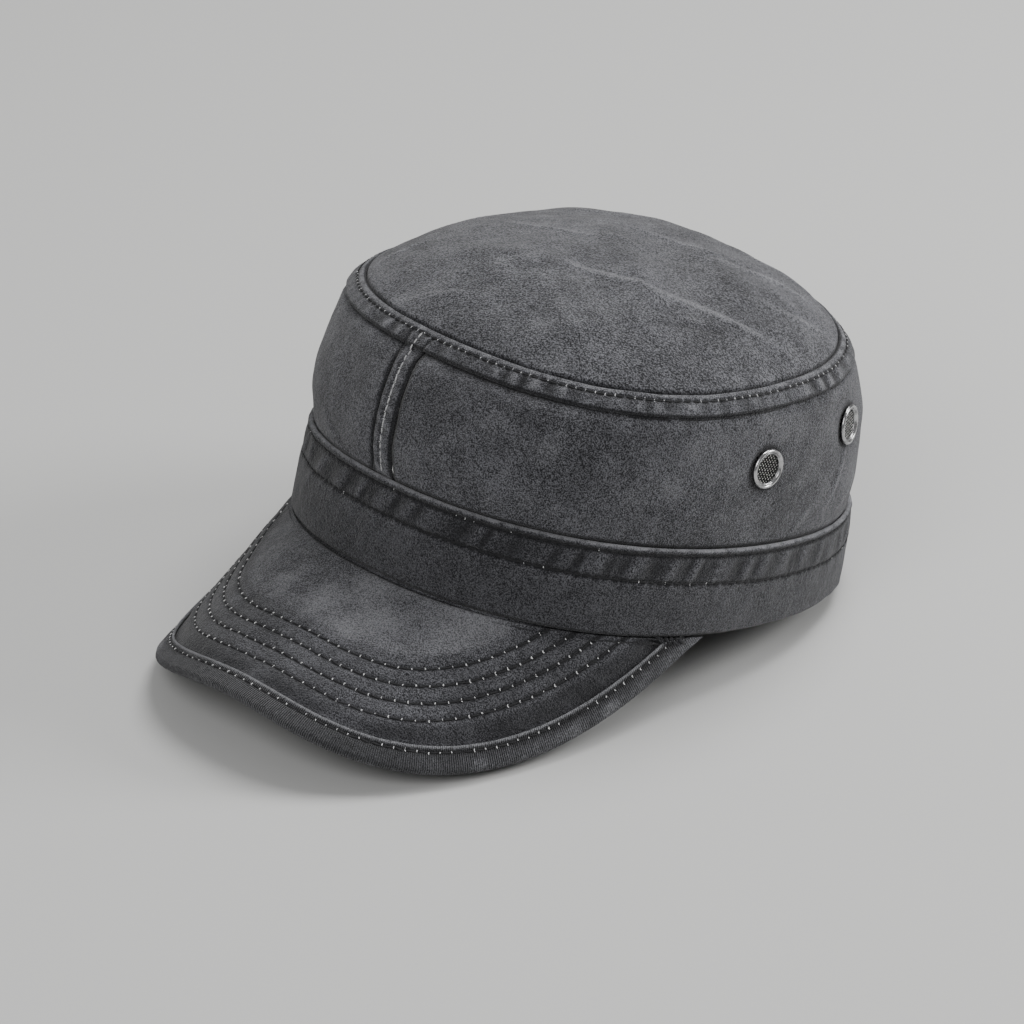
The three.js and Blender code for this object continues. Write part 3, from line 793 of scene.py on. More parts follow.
def scatter(name, template, origins, tangents, normals, scales):
    """Many copies of one small shape, joined into one mesh. Its x runs along the tangents and its z
    along the normals."""
    bmesh.ops.triangulate(template, faces=template.faces[:])
    template.verts.index_update()
    shape = np.array([vert.co[:] for vert in template.verts])
    faces = np.array([[vert.index for vert in face.verts] for face in template.faces])
    template.free()
    x = unit(tangents - (tangents * normals).sum(-1, keepdims=True) * normals)
    y = np.cross(normals, x)
    axes = np.stack((x, y, normals), 1) * scales[..., None]
    points = np.einsum("kj,njc->nkc", shape, axes) + origins[:, None, :]
    corners = faces[None] + (np.arange(len(origins)) * len(shape))[:, None, None]
    mesh = bpy.data.meshes.new(name)
    mesh.from_pydata(points.reshape(-1, 3), [], corners.reshape(-1, 3))
    return put(name, mesh)


def row_index(v, count):
    """The row of a profile that a grid's v falls on, the last being the first again."""
    return np.rint(v * count).astype(int) % count


def half_round(count):
    """The angles of a half turn's inner points."""
    return np.linspace(0, np.pi, count + 2)[1:-1]


def run(*columns):
    """A run of a profile. A bare number fills its whole column."""
    return np.stack(np.broadcast_arrays(*columns), -1)


def band_profile(sizes):
    """Rise, depth and relief round the band's section: out, over its fold, in and under its rim."""
    radius = sizes.band_cloth / 2
    share = radius / sizes.band_height
    angle = half_round(8)
    turn_over = radius * (1 - np.cos(angle))
    return np.concatenate((
        run(paced(np.linspace(0, 1, 52), BAND_PACE), 0, 1),
        run(1 - share + share * np.sin(angle), turn_over, np.cos(angle / 2)),
        run(np.linspace(1 - share, share, 7), 2 * radius, 0),
        run(share - share * np.sin(angle), 2 * radius - turn_over, np.sin(angle / 2)),
    ))


def band_place(cap, profile):
    """The band's cloth: rolled over its fold, pulled in by two rows of stitches and puckered between."""
    height = cap.sizes.band_height

    def place(u, v):
        turn = (u - 0.5) * ROUND
        rise, depth, share = profile[row_index(v, len(profile))].T
        bare = cap.crown.outside(turn, rise)
        below = (1 - rise) * height
        foot = rise * height
        row_below = (1 - cap.lower_row(turn)) * height
        in_zone = hump((below - BAND_STITCH) / (row_below - BAND_STITCH), 0.6)
        lean = below * 5.5
        pucker = beat(turn + lean, "band") * (0.65 + 0.35 * ripples(bare, 0.03, 3))
        fine = beat(turn + lean * 0.8, "band threads") * (0.5 + 0.5 * ripples(bare, 0.02, 4))
        low_pucker = beat(turn + lean, "band foot")
        upper = cap.dashes(turn, 0.9)
        lower = cap.dashes(turn, 0.6)
        upper_cut = groove(below - BAND_STITCH, CUT)
        lower_cut = groove(below - row_below, CUT)
        beneath = np.exp(-np.maximum(below - row_below, 0) / 0.0035) * (below > row_below)
        relief = (0.0004 * hump(below / BAND_STITCH, 0.5) * (0.8 + 0.2 * ripples(bare, 0.006, 5))
                  - 0.0007 * upper_cut * (0.55 + 0.45 * upper)
                  - 0.0006 * lower_cut * (0.5 + 0.5 * lower)
                  + in_zone * (0.0005 * pucker + 0.00018 * fine)
                  + 0.0002 * beneath * low_pucker
                  + swell(bare, "band"))
        ahead = smooth(np.cos(turn), 0.2, 0.9)
        left = smooth(np.sin(turn), 0.7, 1)
        right = smooth(-np.sin(turn), -0.2, 0.6)
        over_peak = smooth(np.cos(turn), 0.12, 0.3)
        # Paler along the fold's crest, as wear and a painted highlight. Darker over the whole band, with
        # painted shade towards the front and both sides for how the light falls; painted shade in the
        # stitched grooves and between the puckers, whose ridges are pale as wear and a painted highlight;
        # paler under the lower row and along the foot at the back; a painted shadow along the foot where the
        # band sits on the peak
        worn_and_painted_light = (2.4 * groove(below, 0.0007) * (0.75 + 0.25 * ripples(bare, 0.004, 8))
                - 0.38 - 0.08 * ahead - 0.1 * left - 0.28 * right
                - 2.4 * upper_cut * (0.25 + 0.75 * upper)
                - 2.0 * lower_cut * (0.25 + 0.75 * lower)
                + in_zone * (0.65 * np.maximum(pucker, -0.45) + 0.25 * fine - 0.2)
                + 0.35 * beneath * (0.5 + 0.5 * low_pucker)
                + 0.3 * np.exp(-foot / 0.0012) * (1 - over_peak)
                - 3.5 * groove(foot, 0.0006) * over_peak)
        points = cap.rest.settle(cap.crown.inside(turn, rise, depth - relief * share))
        laid = np.stack((turn * cap.crown.half_width, foot), -1) * 1000
        return points, laid, worn_and_painted_light * share

    return place


class AddBand(bpy.types.Operator):
    """Add the doubled band with its fold, its two stitched grooves and the puckers between them"""

    bl_idname = "cap.add_band"
    bl_label = "Band"

    def execute(self, context):
        cap = Cap(context.scene)
        profile = band_profile(cap.sizes)
        made = sheet("band", BAND_STEPS, len(profile), band_place(cap, profile))
        dress(made, washed_twill(context.scene, "band_twill"), "twill", "band")
        return {"FINISHED"}


def panel_place(cap, side, middles):
    """One half of the side wall: its creases, and the cloth pressed in round its eyelets and seams."""
    drop = cap.sizes.wall_height - cap.sizes.band_height
    slot = cap.sizes.seam_width / 2 + cap.peak_sizes.gap
    half_width = cap.crown.half_width

    def place(u, v):
        rise = paced(v, WALL_PACE)
        front = cap.crown.seam_turn(FRONT_SEAM, rise)
        back = side * cap.crown.seam_turn(BACK_SEAM, rise)
        start = front + side * slot / cap.crown.reach(front, rise)
        stop = back - side * slot / cap.crown.reach(back, rise)
        turn = start + (stop - start) * u
        bare = cap.crown.outside(turn, rise)
        share = np.clip(rise - 1, 0, 1)
        round_ = turn * half_width
        relief = swell(bare, "wall") * hump(share, 0.5)
        worn_and_painted_light = 0.1 * ripples(bare, 0.03, 23) + 0.1 * ripples(bare, 0.012, 25)
        # Each crease: pale along a ridge, as wear and a painted highlight, and painted shade along a dent
        for crease in WALL_CREASES:
            ends = (np.radians(crease.across_a) * half_width, crease.along_a * drop,
                    np.radians(crease.across_b) * half_width, crease.along_b * drop)
            near = nearness(round_, share * drop, *ends, crease.width * 0.5)
            near = near * taper(round_, share * drop, *ends)
            relief = relief + crease.depth * near
            worn_and_painted_light = worn_and_painted_light + CREASE_WEAR_AND_PAINTED_LIGHT * crease.depth * near
        # Round each eyelet the cloth dips, with a painted shadow round its flange
        for middle in middles:
            from_flange = np.linalg.norm(cap.rest.place(bare) - middle, axis=-1) - cap.eyelets.width / 2
            relief = relief - 0.0003 * groove(from_flange, 0.0015)
            worn_and_painted_light = worn_and_painted_light - 1.3 * groove(from_flange - 0.0004, 0.0008)
        # Painted shade under the ring, a painted shadow over the band, and painted shade beside the front
        # seam
        under_ring = groove((2 - rise) * drop, 0.0006)
        over_band = groove((rise - 1) * drop - 0.0005, 0.0008)
        near_start = groove((turn - start) * half_width, 0.001)
        tug = 0.00025 * beat(turn, "wall") * np.exp(-(2 - np.minimum(rise, 2)) * drop / 0.004)
        relief = relief - 0.0006 * under_ring - 0.0006 * near_start + tug
        worn_and_painted_light = worn_and_painted_light - 2 * under_ring - 1.6 * over_band - 2 * near_start
        points = cap.rest.place(cap.crown.inside(turn, rise, cap.crown.wall_depth(rise) - relief))
        laid = np.stack((round_, (rise - 1) * drop), -1) * 1000
        return points, laid, worn_and_painted_light

    return place


def eyelet_frame(cap, eyelet):
    """An eyelet's middle on the wall and its axis out of it, in the frame."""
    turn = np.radians(eyelet.turn)
    rise = 1 + eyelet.share
    return cap.line(cap.crown.inside, turn, rise, cap.crown.wall_depth(rise))


class AddPanels(bpy.types.Operator):
    """Add the two halves of the side wall, with their folds and the holes for the eyelets"""

    bl_idname = "cap.add_panels"
    bl_label = "Side wall"

    def execute(self, context):
        cap = Cap(context.scene)
        twill = washed_twill(context.scene, "wall_twill")
        radius = cap.eyelets.bore / 2 + HOLE_ROOM
        for name, side in (("left_panel", 1), ("right_panel", -1)):
            middles = [eyelet_frame(cap, eyelet)[0] for eyelet in EYELETS if eyelet.turn * side > 0]
            holes = [(Vector(middle), radius) for middle in middles]
            made = sheet(name, *PANEL_STEPS, panel_place(cap, side, middles), cap.sizes.cloth, holes)
            dress(made, twill, "twill", name)
        return {"FINISHED"}


def seam_place(cap, seam):
    """A felled seam: a strip that stands proud, roped by its puckers and sunk along its stitches."""
    drop = cap.sizes.wall_height - cap.sizes.band_height
    half = cap.sizes.seam_width / 2

    def place(u, v):
        rise = paced(v, WALL_PACE)
        middle = cap.crown.seam_turn(seam, rise)
        across = (u - 0.5) * 2
        turn = middle + across * half / cap.crown.reach(middle, rise)
        bare = cap.crown.outside(turn, rise)
        up = np.clip(rise - 1, 0, 1) * drop
        shows = smooth(rise, 1.02, 1.12) * (1 - smooth(rise, 1.88, 1.96))
        proud = 1 - np.abs(across) ** 6
        rope = np.sin(ROUND * (up / 0.0065 + across * 0.4)) * (0.6 + 0.4 * ripples(bare, 0.02, 31))
        sunk = groove(across * half, 0.0009) * (0.6 + 0.4 * stitch_wave(up, cap.stitches.seam_pitch))
        relief = (cap.sizes.seam_proud * proud - 0.001 * (1 - proud) - 0.0004 * sunk
                  + 0.00014 * rope) * shows
        # Pale on the rope's ridges, as wear and a painted highlight, and darker in its troughs; painted shade
        # along both edges and in a line just off its middle
        worn_and_painted_light = (0.05 + 0.5 * rope * proud - 2.4 * groove((1 - np.abs(across)) * half, 0.0009)
                - 0.5 * groove(across * half + 0.0009, 0.0006))
        points = cap.rest.place(cap.crown.inside(turn, rise, cap.crown.wall_depth(rise) - relief))
        return points, np.stack((across * half, up), -1) * 1000, worn_and_painted_light

    return place


class AddSeams(bpy.types.Operator):
    """Add the flat felled seams of the centre front and centre back"""

    bl_idname = "cap.add_seams"
    bl_label = "Felled seams"

    def execute(self, context):
        cap = Cap(context.scene)
        twill = washed_twill(context.scene, "seam_twill")
        for name, seam in (("front_seam", FRONT_SEAM), ("back_seam", BACK_SEAM)):
            made = sheet(name, *SEAM_STEPS, seam_place(cap, seam), cap.sizes.cloth)
            dress(made, twill, "worn_twill", name)
        return {"FINISHED"}


def ring_profile(sizes):
    """Rise, depth and relief round the ring's section, its two edges dipping into their seams."""
    share = np.concatenate(((0, 0.025, 0.06), np.linspace(0.1, 0.9, 17), (0.94, 0.975, 1)))
    dip = sizes.ring_lip * 0.7 * (1 - smooth(np.minimum(share, 1 - share), 0, 0.07))
    back = np.linspace(1, 0, 6)
    thick = sizes.ring_lip + (sizes.ring_cloth - sizes.ring_lip) * np.sin(np.pi * back)
    return np.concatenate((run(2 + share, dip, 1), run(2 + back, thick, 0)))


def ring_place(cap, profile):
    """The rolled ring: puckered under its row of stitches, plain over it, with the front seam's ends."""
    width = np.hypot(cap.sizes.ring_rise, cap.sizes.ring_inset)

    def place(u, v):
        turn = (u - 0.5) * ROUND
        rise, depth, share = profile[row_index(v, len(profile))].T
        bare = cap.crown.outside(turn, rise)
        cut = groove((rise - TOPSTITCH_RISE) * width, 0.00075)
        stitch = cap.dashes(turn, TOPSTITCH_RISE)
        climb = (rise - 2) / (TOPSTITCH_RISE - 2)
        in_lower = hump(1 - climb, 0.6)
        in_upper = hump((rise - TOPSTITCH_RISE) / (3 - TOPSTITCH_RISE), 0.6)
        pucker = beat(turn, "ring") * (0.6 + 0.4 * ripples(bare, 0.03, 42))
        from_seam = np.degrees(turn) - FRONT_SEAM[1]
        felled = groove(from_seam + 2.6 + climb, 0.5) + groove(from_seam - 3.2 - climb, 0.5)
        felled = felled * (rise < TOPSTITCH_RISE)
        relief = (-0.00045 * cut * (0.55 + 0.45 * stitch)
                  + in_lower * (0.00005 + 0.0003 * pucker)
                  + in_upper * 0.0001
                  - 0.0005 * felled
                  + swell(bare, "ring"))
        speck = ripples(bare, 0.005, 44)
        # Painted shade in the stitched groove, at the front seam's ends and along the seams at both edges;
        # below the row the puckers are pale on their ridges, as wear and a painted highlight, with painted
        # shade between; paler above the row
        worn_and_painted_light = (-2.3 * cut * (0.2 + 0.8 * stitch)
                + in_lower * (0.7 * pucker + 0.15 * speck - 0.2)
                + in_upper * (0.35 + 0.3 * speck)
                - 1.5 * felled
                - 2.0 * groove((rise - 2) * width, 0.0005)
                - 1.5 * groove((3 - rise) * width, 0.0004))
        points = cap.rest.place(cap.crown.inside(turn, rise, depth - relief * share))
        laid = np.stack((turn * cap.crown.half_width, (rise - 2) * width), -1) * 1000
        return points, laid, worn_and_painted_light * share

    return place


class AddRing(bpy.types.Operator):
    """Add the rolled ring between the wall and the top, with its topstitched groove and puckers"""

    bl_idname = "cap.add_ring"
    bl_label = "Top ring"

    def execute(self, context):
        cap = Cap(context.scene)
        profile = ring_profile(cap.sizes)
        made = sheet("top_ring", RING_STEPS, len(profile), ring_place(cap, profile))
        dress(made, washed_twill(context.scene, "ring_twill"), "worn_twill", "top_ring")
        return {"FINISHED"}


def top_place(cap):
    """The domed top, which tucks in under the ring, with its creases."""
    sizes = cap.sizes
    gap = cap.peak_sizes.gap

    def place(u, v):
        turn = (u - 0.5) * ROUND
        rise = paced(v, TOP_PACE)
        bare = cap.crown.outside(turn, rise)
        x, y = bare[..., 0], bare[..., 1]
        _, long, wide, _, _, _, _ = cap.crown.level(rise)
        tucked = sizes.ring_lip + (sizes.ring_cloth - sizes.ring_lip) * (1 - smooth(rise, 2.66, 2.95))
        open_ = (sizes.ring_lip + gap) * (1 - smooth(rise, 3, 3.014))
        depth = np.where(rise < 3, tucked + gap, open_)
        shows = smooth(rise, 3.01, 3.12)
        relief = swell(bare, "top")
        # Mottled, with painted shade along the seam where the top meets the ring
        worn_and_painted_light = (0.08 * ripples(bare, 0.03, 53) + 0.12 * ripples(bare, 0.012, 54)
                - 1.4 * groove((rise - 3) * wide, 0.0005))
        # Each crease: pale along a ridge, as wear and a painted highlight, and painted shade along a dent
        for crease in TOP_CREASES:
            ends = (crease.across_a * wide, crease.along_a * long,
                    crease.across_b * wide, crease.along_b * long)
            near = nearness(x, y, *ends, crease.width * 0.5) * taper(x, y, *ends)
            relief = relief + crease.depth * near
            worn_and_painted_light = worn_and_painted_light + CREASE_WEAR_AND_PAINTED_LIGHT * crease.depth * near
        points = cap.rest.place(cap.crown.inside(turn, rise, depth - relief * shows))
        return points, bare[..., :2] * 1000, worn_and_painted_light

    return place


class AddTop(bpy.types.Operator):
    """Add the domed top panel with its creases"""

    bl_idname = "cap.add_top"
    bl_label = "Top panel"

    def execute(self, context):
        cap = Cap(context.scene)
        made = sheet("crown_top", *TOP_STEPS, top_place(cap), cap.sizes.cloth)
        dress(made, washed_twill(context.scene, "top_twill", TOP_GRAIN), "twill", "crown_top")
        return {"FINISHED"}


def row_distance(cap, number, across):
    """How far in from the edge a row of the peak runs: the rows lie closer at the sides."""
    side = smooth(np.abs(across), 0.25, 0.75)
    slip = np.where(across > 0, 0.0016, -0.0006)
    return cap.stitches.first_row + number * cap.stitches.row_step * (1 - 0.11 * side) + slip * side


def peak_place(cap):
    """The peak's cloth: sunk along its rows of stitches, paler inside them as wear and painted light, with a
    painted shadow at the rim and painted shade in the rows.
    """
    peak = cap.peak
    sizes = cap.peak_sizes

    def place(u, v):
        share = (u - 0.5) * 2 * 0.985
        across, last = peak.in_from_edge(share, peak.leaf)
        far = paced(v, PEAK_PACE)
        here = share + (across - share) * far
        out = far * last
        top = peak.top(here, out)
        span = peak.span(share)
        off_rim = far * span - sizes.tuck
        distance = peak.edge_distance(top)
        relief = swell(top, "peak")
        # Mottled and darker over the whole peak, darker still out past the first row; paler in the plain
        # middle, as wear and painted light, and in a patch towards the wearer's left, painted light; darker
        # towards the wearer's right, painted shade, for how the light falls over the peak; a painted shadow
        # along the rim where the band sits on it
        worn_and_painted_light = (0.15 * ripples(top, 0.025, 63) + 0.1 * ripples(top, 0.01, 64) - 0.5
                + 0.62 * smooth(distance - row_distance(cap, PLAIN_ROW, here), 0, 0.004)
                + 0.28 * groove(here - 0.3, 0.4) - 0.5 * smooth(-here, 0, 0.5)
                - 0.4 * (1 - smooth(distance - cap.stitches.first_row, -0.002, 0.0005))
                - 3 * groove(off_rim - 0.0001, 0.0008))
        for number in range(PEAK_ROWS):
            from_row = distance - row_distance(cap, number, here)
            cut = groove(from_row, CUT)
            beside = groove(from_row - 0.0018, 0.0011) + groove(from_row + 0.0018, 0.0011)
            relief = relief - 0.0005 * cut + 0.0001 * beside
            # Painted shade in each stitched groove, slightly paler on either side
            worn_and_painted_light = worn_and_painted_light - 0.9 * cut + 0.12 * beside
        off_root = smooth(far * span, sizes.tuck, sizes.binding_width)
        near_binding = 1 - smooth((1 - far) * span, sizes.binding_width, 1.5 * sizes.binding_width)
        sink = peak.leaf * np.maximum(off_root * BOARD_SINK, near_binding)
        valley = 0.0013 * groove(off_rim, 0.001)
        depth = sink + valley - relief * smooth(off_rim, 0, 0.004)
        return cap.rest.settle(peak.point(here, out, depth)), top[..., :2] * 1000, worn_and_painted_light

    return place


class AddPeak(bpy.types.Operator):
    """Add the quilted board of the peak, sunk along its rows of stitches"""

    bl_idname = "cap.add_peak"
    bl_label = "Peak"

    def execute(self, context):
        cap = Cap(context.scene)
        made = sheet("peak", *PEAK_STEPS, peak_place(cap), cap.peak_sizes.board)
        dress(made, washed_twill(context.scene, "peak_twill"), "twill", "peak")
        return {"FINISHED"}


def binding_profile(cap):
    """Inset, depth and relief round the binding's folded section: over the board, round its edge,
    under it, and back along its inner face."""
    cloth = cap.peak_sizes.binding_cloth
    thick = cap.peak.thickness
    radius = thick / 2
    inset = np.linspace(cap.peak_sizes.binding_width, radius, 20)

    def bend(angle, size):
        return radius - size * np.sin(angle), radius - size * np.cos(angle)

    outer = half_round(8)
    inner = np.pi - half_round(4)
    return np.concatenate((
        run(inset, 0, 1),
        run(*bend(outer, radius), 0.5 + 0.5 * np.cos(outer)),
        run(inset[::-3], thick, 0),
        run(inset[::3], thick - cloth, 0),
        run(*bend(inner, radius - cloth), 0),
        run(inset[::-3], cloth, 0),
    ))


def binding_place(cap, profile):
    """The binding's cloth: a ridge along its fold, a stitched groove beside it, then its worn roll."""
    peak = cap.peak
    width = cap.peak_sizes.binding_width
    shares = np.linspace(-1, 1, EDGE_SAMPLES)
    distances = distances_along(peak.top(shares, np.ones(EDGE_SAMPLES)))

    def place(u, v):
        share = (u - 0.5) * 2
        inset, depth, shows = profile[row_index(v, len(profile))].T
        span = peak.span(share)
        ends = np.minimum((1 - np.abs(share)) / 0.005, 1)
        inset = inset * np.minimum(span / width, 1) * ends
        depth = depth * np.clip((span - cap.peak_sizes.tuck) / (0.3 * width), 0, 1) * ends
        across, out = peak.in_from_edge(share, inset)
        bare = peak.top(across, out)
        round_ = np.interp(share, shares, distances)
        from_fold = width - inset
        ridge = groove(from_fold - 0.0006, 0.0008)
        cut = groove(from_fold - BINDING_STITCH, CUT)
        stitch = stitch_wave(round_, cap.stitches.peak_pitch / BINDING_PACE)
        outer = smooth(from_fold, 0.003, 0.006)
        relief = (0.0004 * ridge * (0.85 + 0.15 * ripples(bare, 0.008, 71))
                  - 0.0005 * cut * (0.6 + 0.4 * stitch)
                  + 0.00015 * outer + 0.00008 * outer * ripples(bare, 0.01, 72))
        side = np.maximum(smooth(share, 0.35, 0.9), 0.9 * smooth(-share, 0.1, 0.4))
        # Pale along the fold, as wear and a painted highlight; darker over the rest, paler on the outer roll
        # towards the sides, and painted shade in the stitched groove
        worn_and_painted_light = (2.6 * groove(from_fold, 0.0008) + 0.45 * ridge - 0.7
                + 0.85 * side * outer * (1 + 0.5 * ripples(bare, 0.012, 73))
                - 1.2 * cut * (0.4 + 0.6 * stitch))
        points = cap.rest.settle(peak.point(across, out, depth - relief * shows))
        laid = np.stack((round_, from_fold), -1) * 1000
        return points, laid, worn_and_painted_light * shows

    return place


class AddBinding(bpy.types.Operator):
    """Add the binding folded round the peak's edge, with its ridge, stitched groove and fine ribs"""

    bl_idname = "cap.add_binding"
    bl_label = "Peak binding"

    def execute(self, context):
        cap = Cap(context.scene)
        profile = binding_profile(cap)
        made = sheet("peak_binding", BINDING_STEPS, len(profile), binding_place(cap, profile))
        dress(made, ribbed_binding(context.scene), "worn_twill", "peak_binding")
        return {"FINISHED"}


def along(row):
    """Evenly spaced places on a row: their points, tangents and normals."""
    distances = distances_along(row.points)
    count = max(round(distances[-1] / row.pitch), 2)
    at = (np.arange(count) + 0.5) / count * distances[-1]

    def sample(values):
        return np.stack([np.interp(at, distances, values[:, axis]) for axis in range(3)], -1)

    return sample(row.points), unit(sample(np.gradient(row.points, axis=0))), unit(sample(row.normals))


class Row(NamedTuple):
    """A row of stitches: its line on the cloth with the normals there, its pitch, the share of its gaps
    with lint, and its thread."""

    points: np.ndarray
    normals: np.ndarray
    pitch: float
    lint: float
    tone: str = "dark"


def crown_row(cap, turns, rises, depth, pitch, lint, cloth="", tone="dark"):
    """A row on the crown, which follows the unevenness of the named cloth."""
    if cloth:
        depth = depth - swell(cap.crown.outside(turns, rises), cloth)
    return Row(*cap.line(cap.crown.inside, turns, rises, depth), pitch, lint, tone)


def peak_row(cap, number):
    """A row along the peak's edge, as far as the rim."""
    shares = np.linspace(-0.999, 0.999, ROW_SAMPLES)
    outs = np.linspace(0.02, 1, 160)
    grid = cap.peak.top(shares[:, None] + 0 * outs, outs + 0 * shares[:, None])
    field = cap.peak.edge_distance(grid[::4])
    field = np.stack([np.interp(shares, shares[::4], column) for column in field.T], -1)
    distances = row_distance(cap, number, shares)
    found = field[:, 0] > distances
    out = np.array([np.interp(-distance, -line, outs)
                    for distance, line in zip(distances[found], field[found])])
    across = shares[found]
    depth = cap.peak.leaf * BOARD_SINK + 0.00015 - swell(cap.peak.top(across, out), "peak")
    return Row(*cap.line(cap.peak.point, across, out, depth), cap.stitches.peak_pitch, 1.0)


def binding_row(cap):
    """The row beside the binding's fold."""
    shares = np.linspace(-0.995, 0.995, ROW_SAMPLES)
    across, out = cap.peak.in_from_edge(shares, cap.peak_sizes.binding_width - BINDING_STITCH)
    pitch = cap.stitches.peak_pitch / BINDING_PACE
    return Row(*cap.line(cap.peak.point, across, out, 0.0002), pitch, 0.8)


def seam_row(cap, seam):
    """The pale row along a felled seam, which runs on over the ring to its stitches."""
    rises = np.linspace(1.03, TOPSTITCH_RISE, 300)
    turns = cap.crown.seam_turn(seam, rises)
    depth = np.where(rises < 1.98, cap.crown.wall_depth(rises) - cap.sizes.seam_proud * 0.5, -0.0001)
    return crown_row(cap, turns, rises, depth, cap.stitches.seam_pitch, 0.6, tone="pale")


def all_rows(cap):
    """Every row of stitches on the cap."""
    turns = np.linspace(-np.pi, np.pi, ROUND_SAMPLES)
    on_ring = np.full(ROUND_SAMPLES, TOPSTITCH_RISE)
    on_band = np.full(ROUND_SAMPLES, 1 - BAND_STITCH / cap.sizes.band_height)
    pitch = cap.stitches.pitch
    return [
        crown_row(cap, turns, on_ring, 0.00008, pitch, 0.75, "ring"),
        crown_row(cap, turns, on_band, 0.0002, pitch, 0.08, "band"),
        crown_row(cap, turns, cap.lower_row(turns), 0.0002, pitch, 0.08, "band"),
        seam_row(cap, FRONT_SEAM),
        seam_row(cap, BACK_SEAM),
        binding_row(cap),
        *(peak_row(cap, number) for number in range(PEAK_ROWS)),
    ]


def row_threads(row, line, thread, rng):
    """A row's threads: their places, directions, normals and sizes."""
    points, tangents, normals = line
    count = len(points)
    wobble = rng.normal(0, 0.1, (count, 1))
    size = np.array((row.pitch * 0.44, thread * 0.5, thread * 0.35))
    directions = unit(tangents + np.cross(normals, tangents) * wobble)
    return points, directions, normals, size * rng.uniform(0.88, 1.12, (count, 1))


def row_flecks(row, line, rng):
    """The lint in a row's gaps, in the same columns: one fleck on each side of the thread."""
    points, tangents, normals = line
    gaps = (points[1:] + points[:-1]) / 2
    ahead = tangents[1:]
    out = normals[1:]
    beside = np.cross(out, ahead)
    each = (len(gaps), 1)
    kept = rng.random(len(gaps)) < row.lint
    size = FINE_LINT if row.pitch < COARSE_PITCH else COARSE_LINT
    flecks = []
    for side in (-1, 1):
        slip = rng.normal(0, 0.00018, each)
        spot = gaps + beside * (slip + side * size * 0.45) + out * 0.0002
        bend = ahead * rng.uniform(0.2, 1, each) * side + beside
        scale = rng.uniform(0.55, 1.25, each) * np.array((size, size * 0.5, size * 0.5))
        flecks.append((spot[kept], unit(bend)[kept], out[kept], scale[kept]))
    return flecks


class AddStitches(bpy.types.Operator):
    """Add the threads of all the rows, and the pale flecks of lint between them"""

    bl_idname = "cap.add_stitches"
    bl_label = "Stitches"

    def execute(self, context):
        cap = Cap(context.scene)
        colours = context.scene.cap_colours
        rng = np.random.default_rng(5)
        lines = {"dark": [], "pale": [], "lint": []}
        for row in all_rows(cap):
            line = along(row)
            lines[row.tone].append(row_threads(row, line, cap.stitches.thread, rng))
            lines["lint"] += row_flecks(row, line, rng)
        for name, kind, material in (
                ("stitches", "dark", thread_finish("dark_thread", colours.thread)),
                ("seam_stitches", "pale", thread_finish("grey_thread", shade(colours.lint, 0.55))),
                ("lint", "lint", thread_finish("lint", colours.lint))):
            bm = bmesh.new()
            bmesh.ops.create_uvsphere(bm, u_segments=8, v_segments=6, radius=1)
            joined = [np.concatenate(part) for part in zip(*lines[kind])]
            dress(scatter(name, bm, *joined), material, "twill")
        return {"FINISHED"}


class Bend(NamedTuple):
    """A bend of an eyelet's section: metres out from its edge or bore, and metres up from the cloth or
    from the top of its flange."""

    line: str
    out: float
    level: str
    up: float


# Over the flange, down through the barrel, and back over the lip inside the cloth
EYELET_BENDS = (
    Bend("edge", -0.0002, "cloth", 0.0001),
    Bend("edge", 0.0001, "cloth", 0.0005),
    Bend("edge", 0.0001, "cloth", 0.001),
    Bend("edge", -0.0002, "flange", 0),
    Bend("edge", -0.0006, "flange", 0.0001),
    Bend("edge", -0.001, "flange", -0.0001),
    Bend("edge", -0.0012, "flange", -0.0005),
    Bend("bore", 0.0002, "flange", -0.0007),
    Bend("bore", 0.0001, "flange", -0.0005),
    Bend("bore", -0.0001, "flange", -0.0005),
    Bend("bore", -0.0002, "flange", -0.0008),
    Bend("bore", -0.0002, "cloth", -0.0006),
    Bend("bore", -0.0001, "cloth", -0.0022),
    Bend("edge", 0, "cloth", -0.0027),
    Bend("edge", 0.0001, "cloth", -0.0024),
    Bend("edge", 0, "cloth", -0.0021),
    Bend("bore", 0.0005, "cloth", -0.0019),
    Bend("bore", 0.0005, "cloth", 0),
)


def facing(point, axis):
    """A matrix that takes the Z axis to an eyelet's axis, and the origin to its middle."""
    turn = Vector((0, 0, 1)).rotation_difference(Vector(axis)).to_matrix().to_4x4()
    return Matrix.Translation(Vector(point)) @ turn


def flanged_ring(sizes, matrix, name):
    """An eyelet's steel, its section spun round its axis."""
    radius = {"edge": sizes.width / 2, "bore": sizes.bore / 2}
    height = {"cloth": 0, "flange": sizes.flange}
    bm = bmesh.new()
    verts = [bm.verts.new((radius[bend.line] + bend.out, 0, height[bend.level] + bend.up))
             for bend in EYELET_BENDS]
    edges = [bm.edges.new((a, b)) for a, b in zip(verts, verts[1:] + verts[:1])]
    bmesh.ops.spin(bm, geom=verts + edges, angle=ROUND, steps=56, axis=(0, 0, 1),
                   cent=(0, 0, 0), use_merge=True)
    bmesh.ops.remove_doubles(bm, verts=bm.verts[:], dist=1e-7)
    bmesh.ops.recalc_face_normals(bm, faces=bm.faces[:])
    bmesh.ops.transform(bm, matrix=matrix, verts=bm.verts[:])
    return piece(name, bm)


